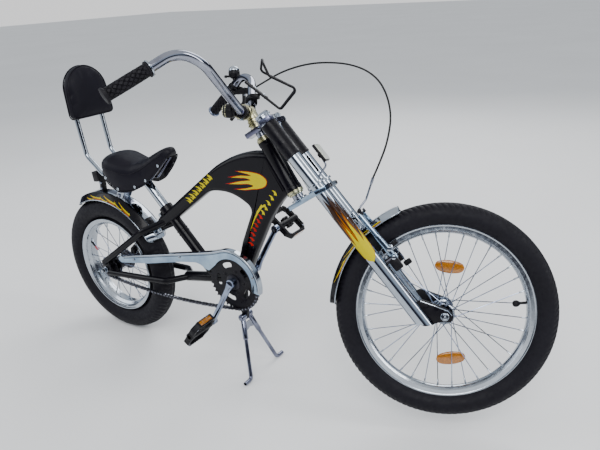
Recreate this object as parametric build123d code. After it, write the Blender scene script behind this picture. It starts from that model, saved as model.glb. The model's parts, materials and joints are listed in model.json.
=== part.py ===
from build123d import *
import math
import os

os.makedirs("parts", exist_ok=True)

# ---------------------------------------------------------------- driving dimensions (mm)
# Bike frame used below: X forward, Y to the rider's left, Z up, z = 0 on the floor,
# x = 0 and y = 0 at the middle of the rear axle.  Everything is shifted by REF at the end
# so that the origin lies on the floor under the middle of the whole bicycle.
REF_X, REF_Y = 536.28, -65.28

# rear wheel: fat 16 inch tyre
REAR_HUB_Z = 224.4
REAR_TYRE_RC, REAR_TYRE_R = 190.0, 34.4
REAR_RIM_EDGE_R, REAR_RIM_HALF = 156.0, 27.0
# front wheel: 20 x 2.125 tyre
FRONT_HUB_X, FRONT_HUB_Z = 1071.1, 300.0
FRONT_TYRE_RC, FRONT_TYRE_R = 230.0, 27.0
FRONT_RIM_EDGE_R, FRONT_RIM_HALF = 207.0, 14.5
SPOKE_R = 1.1

# steering axis: head angle and one point on it; the bars are parked turned to the left
HEAD_ANGLE = 57.1
STEER_X, STEER_Z = 929.8, 208.5
STEER_PARK = 26.3
T_LOW_CUP, T_TOP_CUP = 424.0, 562.0      # ends of the head tube, measured up the axis
T_LOW_CROWN, T_TOP_CROWN = 385.0, 592.0  # undersides of the two crowns
HEAD_TUBE_R = 20.0

# fork legs, in the steering plane: N forward of the axis, T up the axis
LEG_Y = 57.0
LEG_TOP_N, LEG_TOP_T = 34.6, 603.0
LEG_BOT_N, LEG_BOT_T = 118.9, 17.8
LEG_R = 17.5
SLEEVE_R, SLEEVE_LEN = 20.0, 96.0

# bottom bracket and cranks
BB_X, BB_Z, BB_R, BB_HALF = 514.0, 293.0, 22.0, 34.0
CHAIN_Y = -45.0
RING_TEETH, SPROCKET_TEETH, PITCH = 40, 16, 12.7
CHAIN_SAG = 17.0
CRANK_DX, CRANK_DZ, CRANK_Y = 61.0, 119.5, 79.0   # left crank points up and forward
PEDAL_Y0, PEDAL_Y1 = 92.0, 176.0

# main frame
FRAME_HALF = 19.0
SEAT_AXIS_TOP, SEAT_AXIS_LOW = (240.0, 455.0), (352.0, 334.0)
POST_R, SEAT_TUBE_R = 12.7, 16.0
DROPOUT_Y = 58.0

# centre stand
STAND_X, STAND_Z = 505.0, 165.0
STAND_FOOT_X, STAND_BEND_Y, STAND_TIP_Y, STAND_R = 556.0, 62.0, 90.0, 5.6

# ---------------------------------------------------------------- helpers
_h = math.radians(HEAD_ANGLE)
AX = Vector(-math.cos(_h), 0, math.sin(_h))      # up the steering axis
NV = Vector(math.sin(_h), 0, math.cos(_h))       # forward, square to it
SO = Vector(STEER_X, 0, STEER_Z)
STEER_AXIS = Axis(tuple(SO), tuple(AX))


def S(n, y, t):
    """point given in the steering plane's own directions"""
    return SO + NV * n + AX * t + Vector(0, y, 0)


STEER_PLANE = Plane(origin=tuple(SO), x_dir=tuple(NV), z_dir=tuple(AX))


def v(p):
    return Vector(*p) if not isinstance(p, Vector) else p


def rod(p, q, r, ri=0.0, extra=0.0):
    """round bar or tube from p to q"""
    p, q = v(p), v(q)
    d = (q - p).normalized()
    p = p - d * extra
    q = q + d * extra
    pl = Plane(origin=tuple(p), z_dir=tuple(d))
    s = Solid.extrude(Face(Wire(Edge.make_circle(r, pl))), (q - p))
    if ri:
        s = s - Solid.extrude(Face(Wire(Edge.make_circle(ri, pl))), (q - p))
    return s


def cone(p, q, r0, r1):
    p, q = v(p), v(q)
    d = q - p
    return Solid.make_cone(r0, r1, d.length, Plane(origin=tuple(p), z_dir=tuple(d)))


def bent(points, radii, r):
    """round bar along straight runs joined by arcs"""
    pts = [tuple(v(p)) for p in points]
    path = FilletPolyline(*pts, radius=radii)
    d = v(pts[1]) - v(pts[0])
    sec = Plane(origin=pts[0], z_dir=tuple(d)) * Circle(r)
    return sweep(sec, path=path)


def plate_xz(face_points, y0, y1):
    """plate with a straight-edged outline in XZ, from y0 to y1"""
    w = Polyline(*[(x, y0, z) for x, z in face_points], close=True)
    return Solid.extrude(Face(Wire(w.edges())), Vector(0, y1 - y0, 0))


def ring_y(cx, cz, y0, y1, ro, ri=0.0):
    s = rod((cx, y0, cz), (cx, y1, cz), ro)
    if ri:
        s = s - rod((cx, y0 - 1, cz), (cx, y1 + 1, cz), ri)
    return s


def revolve_y(profile, cx, cz):
    """closed outline (radius, y) turned about the wheel's own axle line"""
    w = Polyline(*[(cx + r, y, cz) for r, y in profile], close=True)
    return revolve(Face(Wire(w.edges())), Axis((cx, 0, cz), (0, 1, 0)), 360)


PARTS = {}


def put(name, shape, steered=False):
    if steered:
        shape = shape.rotate(STEER_AXIS, STEER_PARK)
    PARTS[name] = Pos(-REF_X, -REF_Y, 0) * shape


# ---------------------------------------------------------------- wheels
def wheel(hx, hz, tyre_rc, tyre_r, edge_r, half, hub_r, flange_r, flange_y, count, cross, hub_half,
          hub_right):
    """tyre, rim, hub and spokes about the hub centre"""
    bed = edge_r - 9.0                      # radius of the rim's well
    y_at_edge = half - 1.2
    # tyre: round section whose foot sits in the rim
    sec = (Plane(origin=(hx + tyre_rc, 0, hz), x_dir=(1, 0, 0), z_dir=(0, 0, 1))
           * Circle(tyre_r))
    tyre = revolve(sec, Axis((hx, 0, hz), (0, 1, 0)), 360)
    rim_space = ring_y(hx, hz, -60, 60, edge_r + 0.6)
    tyre = tyre - rim_space
    foot = ring_y(hx, hz, -half + 2.6, half - 2.6, edge_r + 2.0, bed + 0.2)
    tyre = tyre + foot
    # rim: side walls, well and inner face
    rim = revolve_y([(edge_r, -half), (edge_r, -half + 2.2), (bed, -half + 2.2), (bed, half - 2.2),
                     (edge_r, half - 2.2), (edge_r, half), (bed - 5, half), (bed - 12, half * 0.45),
                     (bed - 12, -half * 0.45), (bed - 5, -half)], hx, hz)
    rim_in = bed - 12.0
    hub = ring_y(hx, hz, -flange_y, flange_y, hub_r)
    for sy in (-1, 1):
        hub = hub + ring_y(hx, hz, sy * flange_y - 1.8, sy * flange_y + 1.8, flange_r)
    hub = hub + ring_y(hx, hz, -hub_right, hub_half, 10.0)
    hub = hub - ring_y(hx, hz, -90, 90, 4.85)
    per = count // 2
    spokes = []
    for side, start in ((-1, 0.0), (1, 0.5)):
        for i in range(per):
            lead = 1 if i % 2 == 0 else -1
            a_rim = 2 * math.pi * (i + start) / per
            a_hub = a_rim + lead * cross * 2 * math.pi / per
            yf = side * (flange_y + lead * 2.9)
            p0 = Vector(hx + (flange_r - 5) * math.cos(a_hub), yf, hz + (flange_r - 5) * math.sin(a_hub))
            p1 = Vector(hx + (rim_in + 1.0) * math.cos(a_rim), side * half * 0.2,
                        hz + (rim_in + 1.0) * math.sin(a_rim))
            spokes.append(rod(p0, p1, SPOKE_R))
    return tyre, rim, hub, Compound(children=spokes)


ft, fr, fh, fs = wheel(FRONT_HUB_X, FRONT_HUB_Z, FRONT_TYRE_RC, FRONT_TYRE_R, FRONT_RIM_EDGE_R,
                       FRONT_RIM_HALF, 12.0, 24.0, 33.0, 36, 2.5, 44.0, 44.0)
put("front_tyre", ft, True)
put("front_rim", fr, True)
put("front_hub", fh, True)
put("front_spokes", fs, True)
rt, rr, rh, rs = wheel(0, REAR_HUB_Z, REAR_TYRE_RC, REAR_TYRE_R, REAR_RIM_EDGE_R,
                       REAR_RIM_HALF, 22.0, 33.0, 27.0, 28, 1.5, 44.0, 50.0)
put("rear_tyre", rt)
put("rear_rim", rr)
put("rear_hub", rh)
put("rear_spokes", rs)

# ---------------------------------------------------------------- axles
rear_axle = rod((0, -79, REAR_HUB_Z), (0, 79, REAR_HUB_Z), 4.76)
for sy in (-1, 1):
    rear_axle = rear_axle + ring_y(0, REAR_HUB_Z, sy * 63.2, sy * 72.0, 8.6)
put("rear_axle", rear_axle)
front_axle = rod((FRONT_HUB_X, -70, FRONT_HUB_Z), (FRONT_HUB_X, 70, FRONT_HUB_Z), 4.76)
for sy in (-1, 1):
    front_axle = front_axle + ring_y(FRONT_HUB_X, FRONT_HUB_Z, sy * 56.6, sy * 65.0, 8.6)
put("front_axle", front_axle, True)

# ---------------------------------------------------------------- main frame
# side outline of the one-piece main body, turning from the head tube to the rear arm and
# down to the bottom bracket
outline = [
    Line((637, 654), (592, 652)),
    ThreePointArc((592, 652), (541, 640), (491, 618)),
    ThreePointArc((491, 618), (463, 602), (437, 583)),
    Line((437, 583), (222, 419)),
    ThreePointArc((222, 419), (214, 399), (235, 389)),
    Line((235, 389), (288, 423)),
    Line((288, 423), (415, 517)),
    ThreePointArc((415, 517), (436, 528), (467, 533)),
    ThreePointArc((467, 533), (515, 530), (556, 512)),
    ThreePointArc((556, 512), (569, 500), (566, 484)),
    Line((566, 484), (529, 401)),
    Line((529, 401), (497, 300)),
    Line((497, 300), (527, 281)),
    Line((527, 281), (572, 374)),
    Line((572, 374), (609, 446)),
    ThreePointArc((609, 446), (638, 496), (675, 543)),
    Line((675, 543), (695.9, 562.7)),
    Line((695.9, 562.7), (637, 654)),
]
face = Face(Wire([e for o in outline for e in o.edges()]))
face = Plane.XZ * face            # local (x, y) becomes world (x, z); normal is -Y
body = extrude(face, amount=FRAME_HALF, both=True)
head_space = rod(S(0, 0, 380), S(0, 0, 620), HEAD_TUBE_R)
cup_space = [rod(S(0, 0, 380), S(0, 0, T_LOW_CUP + 0.3), 22.2), rod(S(0, 0, T_TOP_CUP - 0.3), S(0, 0, 620), 22.2)]
bb_space = ring_y(BB_X, BB_Z, -60, 60, BB_R)
sa = Vector(SEAT_AXIS_TOP[0], 0, SEAT_AXIS_TOP[1])
sb = Vector(SEAT_AXIS_LOW[0], 0, SEAT_AXIS_LOW[1])
sd = (sb - sa).normalized()
seat_space = rod(sa - sd * 60, sb + sd * 60, SEAT_TUBE_R)
body = body - head_space - cup_space[0] - cup_space[1] - bb_space - seat_space
bs = sorted(body.solids(), key=lambda s: -s.volume)
print("main frame solids", len(bs))
main_frame = bs[0] if len(bs) == 1 else Compound(children=bs)
put("main_frame", main_frame)

head_tube = rod(S(0, 0, T_LOW_CUP), S(0, 0, T_TOP_CUP), HEAD_TUBE_R, 16.5)
put("head_tube", head_tube)
cups = rod(S(0, 0, T_LOW_CUP - 12), S(0, 0, T_LOW_CUP), 21.5, 14.06)
cups = Compound(children=[cups, rod(S(0, 0, T_TOP_CUP), S(0, 0, T_TOP_CUP + 12), 21.5, 14.06)])
put("headset_cups", cups)
put("bottom_bracket", ring_y(BB_X, BB_Z, -BB_HALF, BB_HALF, BB_R, 9.06))

# ---------------------------------------------------------------- rear triangle
# chainstays: one thick tube behind the bottom bracket that parts into two arms
CEN_A, CEN_B = Vector(BB_X, 0, BB_Z - 8), Vector(293, 0, 241.4)
cen = rod(CEN_A, CEN_B, 15.0)
stays = cen
for sy in (-1, 1):
    arm = bent([(14, sy * 60.5, 217), (170, sy * 54, 229), (252, sy * 49, 235.4), (309, sy * 3, 244.9)],
               [120, 26], 9.5)
    stays = stays + arm
    drop = plate_xz([(-17, 232), (-13, 250), (2, 262), (14, 256), (24, 232), (26, 214), (10, 208),
                     (-8, 214)], sy * DROPOUT_Y - 3.0, sy * DROPOUT_Y + 3.0)
    stays = stays + drop
stays = stays - bb_space - ring_y(0, REAR_HUB_Z, -90, 90, 4.9)
seat_foot = rod(sb - sd * 40, sb + sd * 140, SEAT_TUBE_R)
stays = stays.solids().sort_by(SortBy.VOLUME)[-1]
put("chainstays", stays)

# seat tube from just above the rear arm down to the thick chainstay
seat_tube = rod(sa + sd * 12, sb + sd * 118, SEAT_TUBE_R, POST_R + 0.05)
seat_tube = seat_tube - rod(CEN_A, CEN_B, 15.0, extra=30)
seat_tube = seat_tube.solids().sort_by(SortBy.VOLUME)[-1]
put("seat_tube", seat_tube)

seatstays = []
for sy in (-1, 1):
    st = bent([(1, sy * 62, 251), (190, sy * 54, 384), (246, sy * 10.5, 411)], [30], 10.0)
    st = st - body - seat_space - stays
    seatstays.append(st.solids().sort_by(SortBy.VOLUME)[-1])
put("seatstays", Compound(children=seatstays))

seat_clamp = rod(sa + sd * 4, sa + sd * 23, 20.0, SEAT_TUBE_R + 0.02)
seat_clamp = seat_clamp + plate_xz([(244.3, 422.4), (230.3, 414.4), (222.3, 423.4), (238.3, 436.4)], -9, 9) \
    - rod(sa - sd * 60, sb, SEAT_TUBE_R + 0.02) - body
seat_clamp = seat_clamp.solids().sort_by(SortBy.VOLUME)[-1]
put("seat_clamp", seat_clamp)

post_top = sa - sd * 108
seat_post = rod(post_top, sa + sd * 60, POST_R)
put("seat_post", seat_post)

# ---------------------------------------------------------------- saddle
# cross sections along the saddle, square to its curved spine: top point x, z, point between
# the hems x, z, half width
SADDLE = [
    (50, 590, 56, 573, 46),
    (64, 599, 63, 552, 61),
    (90, 601, 88, 520, 68),
    (128, 591, 130, 498, 66),
    (168, 581.5, 170, 503, 57),
    (205, 592, 217, 525, 44),
    (240, 611, 257, 560, 35),
    (272, 628, 290, 596, 28),
    (290, 635, 304, 616, 17),
]


def saddle_section(tx, tz, bx, bz, w):
    """closed section from the hem line up the two sides and over the crown"""
    top, low = Vector(tx, 0, tz), Vector(bx, 0, bz)
    up = (top - low).normalized()
    depth = (top - low).length
    side = max(depth * 0.25, depth - 0.42 * w)

    def q(y, h):
        return low + up * h + Vector(0, y, 0)

    e = [Line(q(-w, 0), q(w, 0)),
         Line(q(w, 0), q(w, side)),
         ThreePointArc(q(w, side), q(0, depth), q(-w, side)),
         Line(q(-w, side), q(-w, 0))]
    return Face(Wire([a for o in e for a in o.edges()]))


saddle = Solid.make_loft([saddle_section(*r).outer_wire() for r in SADDLE], True)
# open space under the saddle for its rails, the post head and the bars of the backrest
under = []
for tx, tz, bx, bz, w in SADDLE[1:8]:
    top, low = Vector(tx, 0, tz), Vector(bx, 0, bz)
    up = (top - low).normalized()
    drop = 18.0 if w > 40 else 14.0
    a, b = top - up * drop, low - up * 30.0
    dx = 4.0 if tx == 64 else 0.0
    under.append((a.X + dx, a.Z, b.X + dx, b.Z, w - (10.0 if w > 40 else 8.0)))
pocket = Solid.make_loft([saddle_section(*r).outer_wire() for r in under], True)
saddle = saddle - pocket
saddle = saddle.solids().sort_by(SortBy.VOLUME)[-1]
put("saddle", saddle)

# saddle undercarriage: head on the post and two rails
head = rod((post_top.X, -24, post_top.Z + 4), (post_top.X, 24, post_top.Z + 4), 15.0)
head = head - rod(post_top - sd * 60, sa, POST_R + 0.02)
rails = []
base = head
for sy in (-1, 1):
    rail = bent([(96, sy * 42, 566), (112, sy * 24, 534), (214, sy * 15, 534), (284, sy * 8, 604)],
                [10, 22], 3.5)
    base = base + rail
base = base - rod(post_top - sd * 60, sa, POST_R + 0.02) - saddle
base = base.solids().sort_by(SortBy.VOLUME)[-1]
put("saddle_rails", base)

# backrest bar: two uprights joined behind the pad, bent forward under the saddle
sissy = None
pad_top_x = -46.0
path = [(118, -33, 519), (46, -44, 541), (-12, -45, 590), (-40, -45, 792), (-44, -20, 822),
        (-44, 20, 822), (-40, 45, 792), (-12, 45, 590), (46, 44, 541), (118, 33, 519)]
sissy = bent(path, [30, 30, 14, 14, 14, 14, 30, 30], 7.0)
foot_bar = rod((118, -34, 519), (118, 34, 519), 7.0)
sissy = (sissy + foot_bar) - base - rod(post_top - sd * 60, sa, POST_R + 0.02) - saddle
sissy = sissy.solids().sort_by(SortBy.VOLUME)[-1]
put("backrest_bar", sissy)

# backrest pad, leaning back with the bar
pad_pl = Plane(origin=(-24, 0, 697), x_dir=(0, 1, 0), z_dir=(0.990, 0, 0.139))
pad_out = [Line((-60, 0), (60, 0)), ThreePointArc((60, 0), (70, 5), (73, 16)), Line((73, 16), (69, 88)),
           ThreePointArc((69, 88), (62, 106), (48, 122)), ThreePointArc((48, 122), (0, 150), (-48, 122)),
           ThreePointArc((-48, 122), (-62, 106), (-69, 88)), Line((-69, 88), (-73, 16)),
           ThreePointArc((-73, 16), (-70, 5), (-60, 0))]
pad = extrude(pad_pl * Face(Wire([a for o in pad_out for a in o.edges()])), amount=26)
pad = Pos(4, 0, 0) * pad
pad = pad - sissy
pad = pad.solids().sort_by(SortBy.VOLUME)[-1]
put("backrest_pad", pad)

# ---------------------------------------------------------------- mudguards
def mudguard(cx, cz, r_in, half, t, a0, a1, crown):
    """arched strip about the axle from angle a0 to a1 (degrees from +X, towards +Z)"""
    prof = [(r_in - crown, -half), (r_in - crown + t, -half), (r_in + t, -half * 0.5), (r_in + t, half * 0.5),
            (r_in - crown + t, half), (r_in - crown, half), (r_in, half * 0.5 - 1), (r_in, -half * 0.5 + 1)]
    w = Polyline(*[(cx + r, y, cz) for r, y in prof], close=True)
    f = Face(Wire(w.edges()))
    s = revolve(f, Axis((cx, 0, cz), (0, -1, 0)), a1 - a0)
    return s.rotate(Axis((cx, 0, cz), (0, -1, 0)), a0)


rear_guard = mudguard(0, REAR_HUB_Z, 241.0, 40.0, 1.8, 31, 122, 21.0)
for s in seatstays:
    rear_guard = rear_guard - s
rear_guard = rear_guard.solids().sort_by(SortBy.VOLUME)[-1]
put("rear_mudguard", rear_guard)

# bracket between the mudguard's front end and the seat tube
a_br = math.radians(37)
br0 = Vector(244.2 * math.cos(a_br), 0, REAR_HUB_Z + 244.2 * math.sin(a_br))
tube_pt = sa + sd * 60
mg_bracket = rod(br0, tube_pt, 8.0)
mg_bracket = mg_bracket - seat_space - rear_guard - body - ring_y(0, REAR_HUB_Z, -60, 60, 242.9)
mg_bracket = mg_bracket.solids().sort_by(SortBy.VOLUME)[-1]
put("mudguard_bracket", mg_bracket)

front_guard = mudguard(FRONT_HUB_X, FRONT_HUB_Z, 270.0, 30.0, 1.6, 117, 181, 15.0)
put("front_mudguard", front_guard, True)

# ---------------------------------------------------------------- chain, guard, sprocket, chainring
def pitch_r(teeth):
    return PITCH / (2 * math.sin(math.pi / teeth))


RING_PR, SPR_PR = pitch_r(RING_TEETH), pitch_r(SPROCKET_TEETH)
print("pitch radii", round(RING_PR, 2), round(SPR_PR, 2))


def chain_loop(off):
    """belt outline about sprocket and chainring, at a distance off from the pitch line"""
    r0, r1 = SPR_PR + off, RING_PR + off
    dx, dz = BB_X, BB_Z - REAR_HUB_Z
    d = math.hypot(dx, dz)
    base_a = math.atan2(dz, dx)
    th = math.asin((RING_PR - SPR_PR) / d)
    up = base_a + math.pi / 2 + th
    lo = base_a - math.pi / 2 - th
    c0, c1 = (0.0, REAR_HUB_Z), (BB_X, BB_Z)

    def pt(c, r, a):
        return (c[0] + r * math.cos(a), c[1] + r * math.sin(a))

    back = base_a + math.pi
    q1, q0 = pt(c1, r1, lo), pt(c0, r0, lo)
    mid_low = ((q0[0] + q1[0]) / 2 + CHAIN_SAG * math.cos(lo), (q0[1] + q1[1]) / 2 + CHAIN_SAG * math.sin(lo))
    e = [Line(pt(c0, r0, up), pt(c1, r1, up)),
         ThreePointArc(pt(c1, r1, up), pt(c1, r1, base_a), pt(c1, r1, lo)),
         ThreePointArc(pt(c1, r1, lo), mid_low, pt(c0, r0, lo)),
         ThreePointArc(pt(c0, r0, lo), pt(c0, r0, back), pt(c0, r0, up))]
    w = Wire([a for o in e for a in o.edges()])
    f = Face(w)
    if f.normal_at().Z < 0:
        f = -f
    return f


def loop_solid(face, y0, y1):
    """flat outline in XZ given thickness from y0 to y1"""
    return Solid.extrude(Pos(0, y0, 0) * (Plane.XZ * face), Vector(0, y1 - y0, 0))


chain = loop_solid(chain_loop(4.0), CHAIN_Y - 3.9, CHAIN_Y + 3.9) \
    - loop_solid(chain_loop(-3.6), CHAIN_Y - 5.0, CHAIN_Y + 5.0)
put("chain", chain)
print("chain length", round(chain.volume / (7.8 * 7.6), 1))

ring = ring_y(BB_X, BB_Z, CHAIN_Y - 1.6, CHAIN_Y + 1.6, RING_PR - 4.2, 22.0)
for i in range(5):
    slot = None
    for k in range(-5, 6):
        a = math.radians(i * 72 + 110 + k * 2.2)
        q = Vector(BB_X + 50 * math.cos(a), 0, BB_Z + 50 * math.sin(a))
        hole = rod(q + Vector(0, CHAIN_Y - 4, 0), q + Vector(0, CHAIN_Y + 4, 0), 7.5)
        slot = hole if slot is None else slot + hole
    ring = ring - slot
put("chainring", ring)

sprocket = ring_y(0, REAR_HUB_Z, CHAIN_Y - 1.6, CHAIN_Y + 1.6, SPR_PR - 4.2, 10.06)
sprocket = sprocket + ring_y(0, REAR_HUB_Z, CHAIN_Y + 1.6, -37.0, 16.0, 10.06)
put("rear_sprocket", sprocket)

# carrier of the sprocket: stub of the hub driver, fixed axle cone beside the dropout
# chain guard: chrome plate outside the chain with a rolled top edge, hooked round the ring
g_out, g_in = 93.0, 68.0
gy0, gy1 = -55.0, -53.4
a_start, a_end = math.radians(102), math.radians(-9)


def gp(r, a):
    return (BB_X + r * math.cos(a), BB_Z + r * math.sin(a))


ge = [Line((76, 283), (440, 369.3)),
      ThreePointArc((440, 369.3), (468, 378), gp(g_out + 3, a_start)),
      ThreePointArc(gp(g_out + 3, a_start), gp(g_out + 3, math.radians(50)), gp(g_out, a_end)),
      Line(gp(g_out, a_end), gp(g_in, a_end)),
      ThreePointArc(gp(g_in, a_end), gp(g_in + 3, math.radians(50)), gp(g_in - 1, math.radians(140))),
      Line(gp(g_in - 1, math.radians(140)), (437, 314)),
      Line((437, 314), (424, 316.5)),
      ThreePointArc((424, 316.5), (408, 325.5), (386, 328)),
      Line((386, 328), (334, 318.5)),
      Line((334, 318.5), (193, 283)),
      Line((193, 283), (72, 261)),
      ThreePointArc((72, 261), (62, 271), (76, 283))]
guard = loop_solid(Face(Wire([a for o in ge for a in o.edges()])), gy0, gy1)
# lip turned in over the chain along the top edge
le = [Line((76, 283), (440, 369.3)),
      ThreePointArc((440, 369.3), (468, 378), gp(g_out + 3, a_start)),
      ThreePointArc(gp(g_out + 3, a_start), gp(g_out + 3, math.radians(50)), gp(g_out, a_end)),
      Line(gp(g_out, a_end), gp(g_out - 1.6, a_end)),
      ThreePointArc(gp(g_out - 1.6, a_end), gp(g_out + 1.4, math.radians(50)), gp(g_out + 1.4, a_start)),
      ThreePointArc(gp(g_out + 1.4, a_start), (468.3, 376.4), (440.4, 367.7)),
      Line((440.4, 367.7), (76.4, 281.4)),
      Line((76.4, 281.4), (76, 283))]
lip = loop_solid(Face(Wire([a for o in le for a in o.edges()])), gy1, gy1 + 13)
guard = guard + lip
for sy in (-1,):
    # two small brackets that hold the guard on the chainstay and on the thick tube
    guard = guard + rod((133, -53.6, 283), (133, -50, 283), 6.0)
guard = guard - stays - seatstays[0] - seatstays[1]
guard = guard.solids().sort_by(SortBy.VOLUME)[-1]
put("chainguard", guard)

# ---------------------------------------------------------------- crank and pedals
c_right = Vector(BB_X - CRANK_DX, 0, BB_Z - CRANK_DZ)
c_left = Vector(BB_X + CRANK_DX, 0, BB_Z + CRANK_DZ)
crank = rod((BB_X, -52, BB_Z), (BB_X, 52, BB_Z), 9.0)
crank = crank + rod((BB_X, CHAIN_Y + 1.8, BB_Z), (BB_X, CHAIN_Y + 5.4, BB_Z), 24.5)
crank = crank + rod((BB_X, CHAIN_Y - 4.0, BB_Z), (BB_X, CHAIN_Y + 1.8, BB_Z), 21.9)
crank = crank - rod((BB_X, CHAIN_Y - 1.7, BB_Z), (BB_X, CHAIN_Y + 1.7, BB_Z), 30.0, 21.95)
for c, sy in ((c_right, -1), (c_left, 1)):
    b0 = Vector(BB_X, sy * 49, BB_Z)
    mid = Vector(BB_X + (c.X - BB_X) * 0.28, sy * 60, BB_Z + (c.Z - BB_Z) * 0.28)
    tip = Vector(c.X, sy * CRANK_Y, c.Z)
    crank = crank + rod(Vector(BB_X, sy * 46, BB_Z), Vector(BB_X, sy * 62, BB_Z), 13.0)
    crank = crank + cone(Vector(BB_X, sy * 59, BB_Z), tip, 10.0, 7.5)
    crank = crank + rod(Vector(c.X, sy * (CRANK_Y - 9), c.Z), Vector(c.X, sy * (CRANK_Y + 5), c.Z), 10.5)
    crank = crank - rod(Vector(c.X, sy * (CRANK_Y - 12), c.Z), Vector(c.X, sy * (CRANK_Y + 9), c.Z), 6.35)
    crank = crank - rod(Vector(c.X, sy * (CRANK_Y + 5), c.Z), Vector(c.X, sy * (CRANK_Y + 20), c.Z), 16.0)
crank = crank.solids().sort_by(SortBy.VOLUME)[-1]
put("crank", crank)

for nm, c, sy in (("pedal_right", c_right, -1), ("pedal_left", c_left, 1)):
    ped = rod((c.X, sy * (CRANK_Y - 9), c.Z), (c.X, sy * (CRANK_Y + 5.6), c.Z), 6.3)
    ped = ped + rod((c.X, sy * (CRANK_Y + 5.6), c.Z), (c.X, sy * PEDAL_Y1, c.Z), 7.0)
    # cage: two end bars and two long bars about the spindle, with a centre barrel
    ped = ped + rod((c.X, sy * PEDAL_Y0, c.Z), (c.X, sy * (PEDAL_Y1 - 2), c.Z), 11.0)
    frame_box = Box(92, PEDAL_Y1 - PEDAL_Y0, 20)
    hole = Box(31, PEDAL_Y1 - PEDAL_Y0 - 22, 30)
    cage = frame_box - Pos(-25, 0, 0) * hole - Pos(25, 0, 0) * hole
    cage = fillet(cage.edges().filter_by(Axis.Z).sort_by_distance((0, 0, 0))[-4:], 8.0)
    cage = Rot(0, -55 if sy < 0 else -140, 0) * cage
    ped = ped + Pos(c.X, sy * (PEDAL_Y0 + PEDAL_Y1) / 2, c.Z) * cage
    put(nm, ped)

# ---------------------------------------------------------------- centre stand
sb_plate = plate_xz([(488, 256), (520, 262), (516, 180), (512, 156), (498, 156), (494, 180)], -5, 5)
sb_plate = sb_plate - rod(CEN_A, CEN_B, 15.0, extra=30) - bb_space
sb_plate = sb_plate.solids().sort_by(SortBy.VOLUME)[-1]
sb_plate = sb_plate - ring_y(STAND_X, STAND_Z, -30, 30, 5.05)
put("stand_bracket", sb_plate)

stand = rod((STAND_X, -24, STAND_Z), (STAND_X, 24, STAND_Z), 5.0)
for sy in (-1, 1):
    stand = stand + rod((STAND_X, sy * 5.6, STAND_Z), (STAND_X, sy * 22, STAND_Z), 10.0)
    top = Vector(STAND_X, sy * 13, STAND_Z)
    knee = Vector(STAND_FOOT_X, sy * STAND_BEND_Y, STAND_R)
    tip = Vector(STAND_FOOT_X, sy * STAND_TIP_Y, STAND_R)
    stand = stand + bent([top, knee, tip], [12], STAND_R)
    stand = stand + rod(top + (knee - top) * 0.02, top + (knee - top) * 0.36, 7.4)
# gusset between the legs
gn = Vector(0.952, 0, 0.307) * 3.0


def on_leg(f, y):
    return Vector(STAND_X + (STAND_FOOT_X - STAND_X) * f, y, STAND_Z + (STAND_R - STAND_Z) * f) - gn * 0.5


stand = stand + Solid.extrude(Face(Wire.make_polygon([on_leg(0.11, -17), on_leg(0.11, 17), on_leg(0.25, 24),
                                                      on_leg(0.25, -24)])), gn)
stand = stand - Pos(STAND_X, 0, -50) * Box(400, 400, 100)
put("centre_stand", stand)

# ---------------------------------------------------------------- fork
LT = S(LEG_TOP_N, 0, LEG_TOP_T)
LB = S(LEG_BOT_N, 0, LEG_BOT_T)
LD = (LB - LT).normalized()


def leg_pt(s, y=0.0):
    """point on the leg line, s from 0 at its top to its full length at the bottom"""
    return LT + LD * s + Vector(0, y, 0)


LEG_LEN = (LB - LT).length
print("leg length", round(LEG_LEN, 1))

steerer = rod(S(0, 0, T_LOW_CROWN + 8), S(0, 0, T_TOP_CROWN + 4), 14.0)
put("steerer", steerer, True)


def crown(t0, t1, n_back, n_leg, half_w, y_leg, thick_r):
    """plate square to the steering axis that clamps the steerer and both legs"""
    pts = [(-n_back, -22), (8, -30), (n_leg - 14, -(y_leg + thick_r)), (n_leg + 14, -(y_leg + thick_r)),
           (n_leg + thick_r, -(y_leg - 8)), (n_leg + 8, 0), (n_leg + thick_r, (y_leg - 8)),
           (n_leg + 14, (y_leg + thick_r)), (n_leg - 14, (y_leg + thick_r)), (8, 30), (-n_back, 22)]
    w = Polyline(*[tuple(S(n, y, t0)) for n, y in pts], close=True)
    return Solid.extrude(Face(Wire(w.edges())), AX * (t1 - t0))


upper = crown(T_TOP_CROWN - 6, T_TOP_CROWN + 6, 34, 37, 30, LEG_Y, 22.5)
lower = crown(T_LOW_CROWN, T_LOW_CROWN + 12, 30, 68, 30, LEG_Y, 22.5)
leg_cut = [rod(leg_pt(-20, sy * LEG_Y), leg_pt(LEG_LEN, sy * LEG_Y), LEG_R) for sy in (-1, 1)]
steer_cut = rod(S(0, 0, 300), S(0, 0, 700), 14.0)
sleeves = []
for sy in (-1, 1):
    sleeves.append(rod(leg_pt(18, sy * LEG_Y), leg_pt(18 + SLEEVE_LEN, sy * LEG_Y), SLEEVE_R, LEG_R))
upper = upper - steer_cut - leg_cut[0] - leg_cut[1] - sleeves[0] - sleeves[1]
upper = upper.solids().sort_by(SortBy.VOLUME)[-1]
lower = lower - steer_cut - leg_cut[0] - leg_cut[1]
lower = lower.solids().sort_by(SortBy.VOLUME)[-1]
put("upper_crown", upper, True)
put("lower_crown", lower, True)
put("fork_sleeves", Compound(children=sleeves), True)

# legs, with the lower dropout plates and the bridge over the wheel
legs = [rod(leg_pt(0, sy * LEG_Y), leg_pt(LEG_LEN, sy * LEG_Y), LEG_R) for sy in (-1, 1)]
bridge_s = 322.0
bridge = rod(leg_pt(bridge_s, -LEG_Y) + NV * 0, leg_pt(bridge_s, LEG_Y), 8.0)
bridge = bridge - legs[0] - legs[1] \
    - ring_y(FRONT_HUB_X, FRONT_HUB_Z, -80, 80, 272.2)
bridge = bridge.solids().sort_by(SortBy.VOLUME)[-1]
put("fork_bridge", bridge, True)
put("fork_legs", Compound(children=legs), True)

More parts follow.
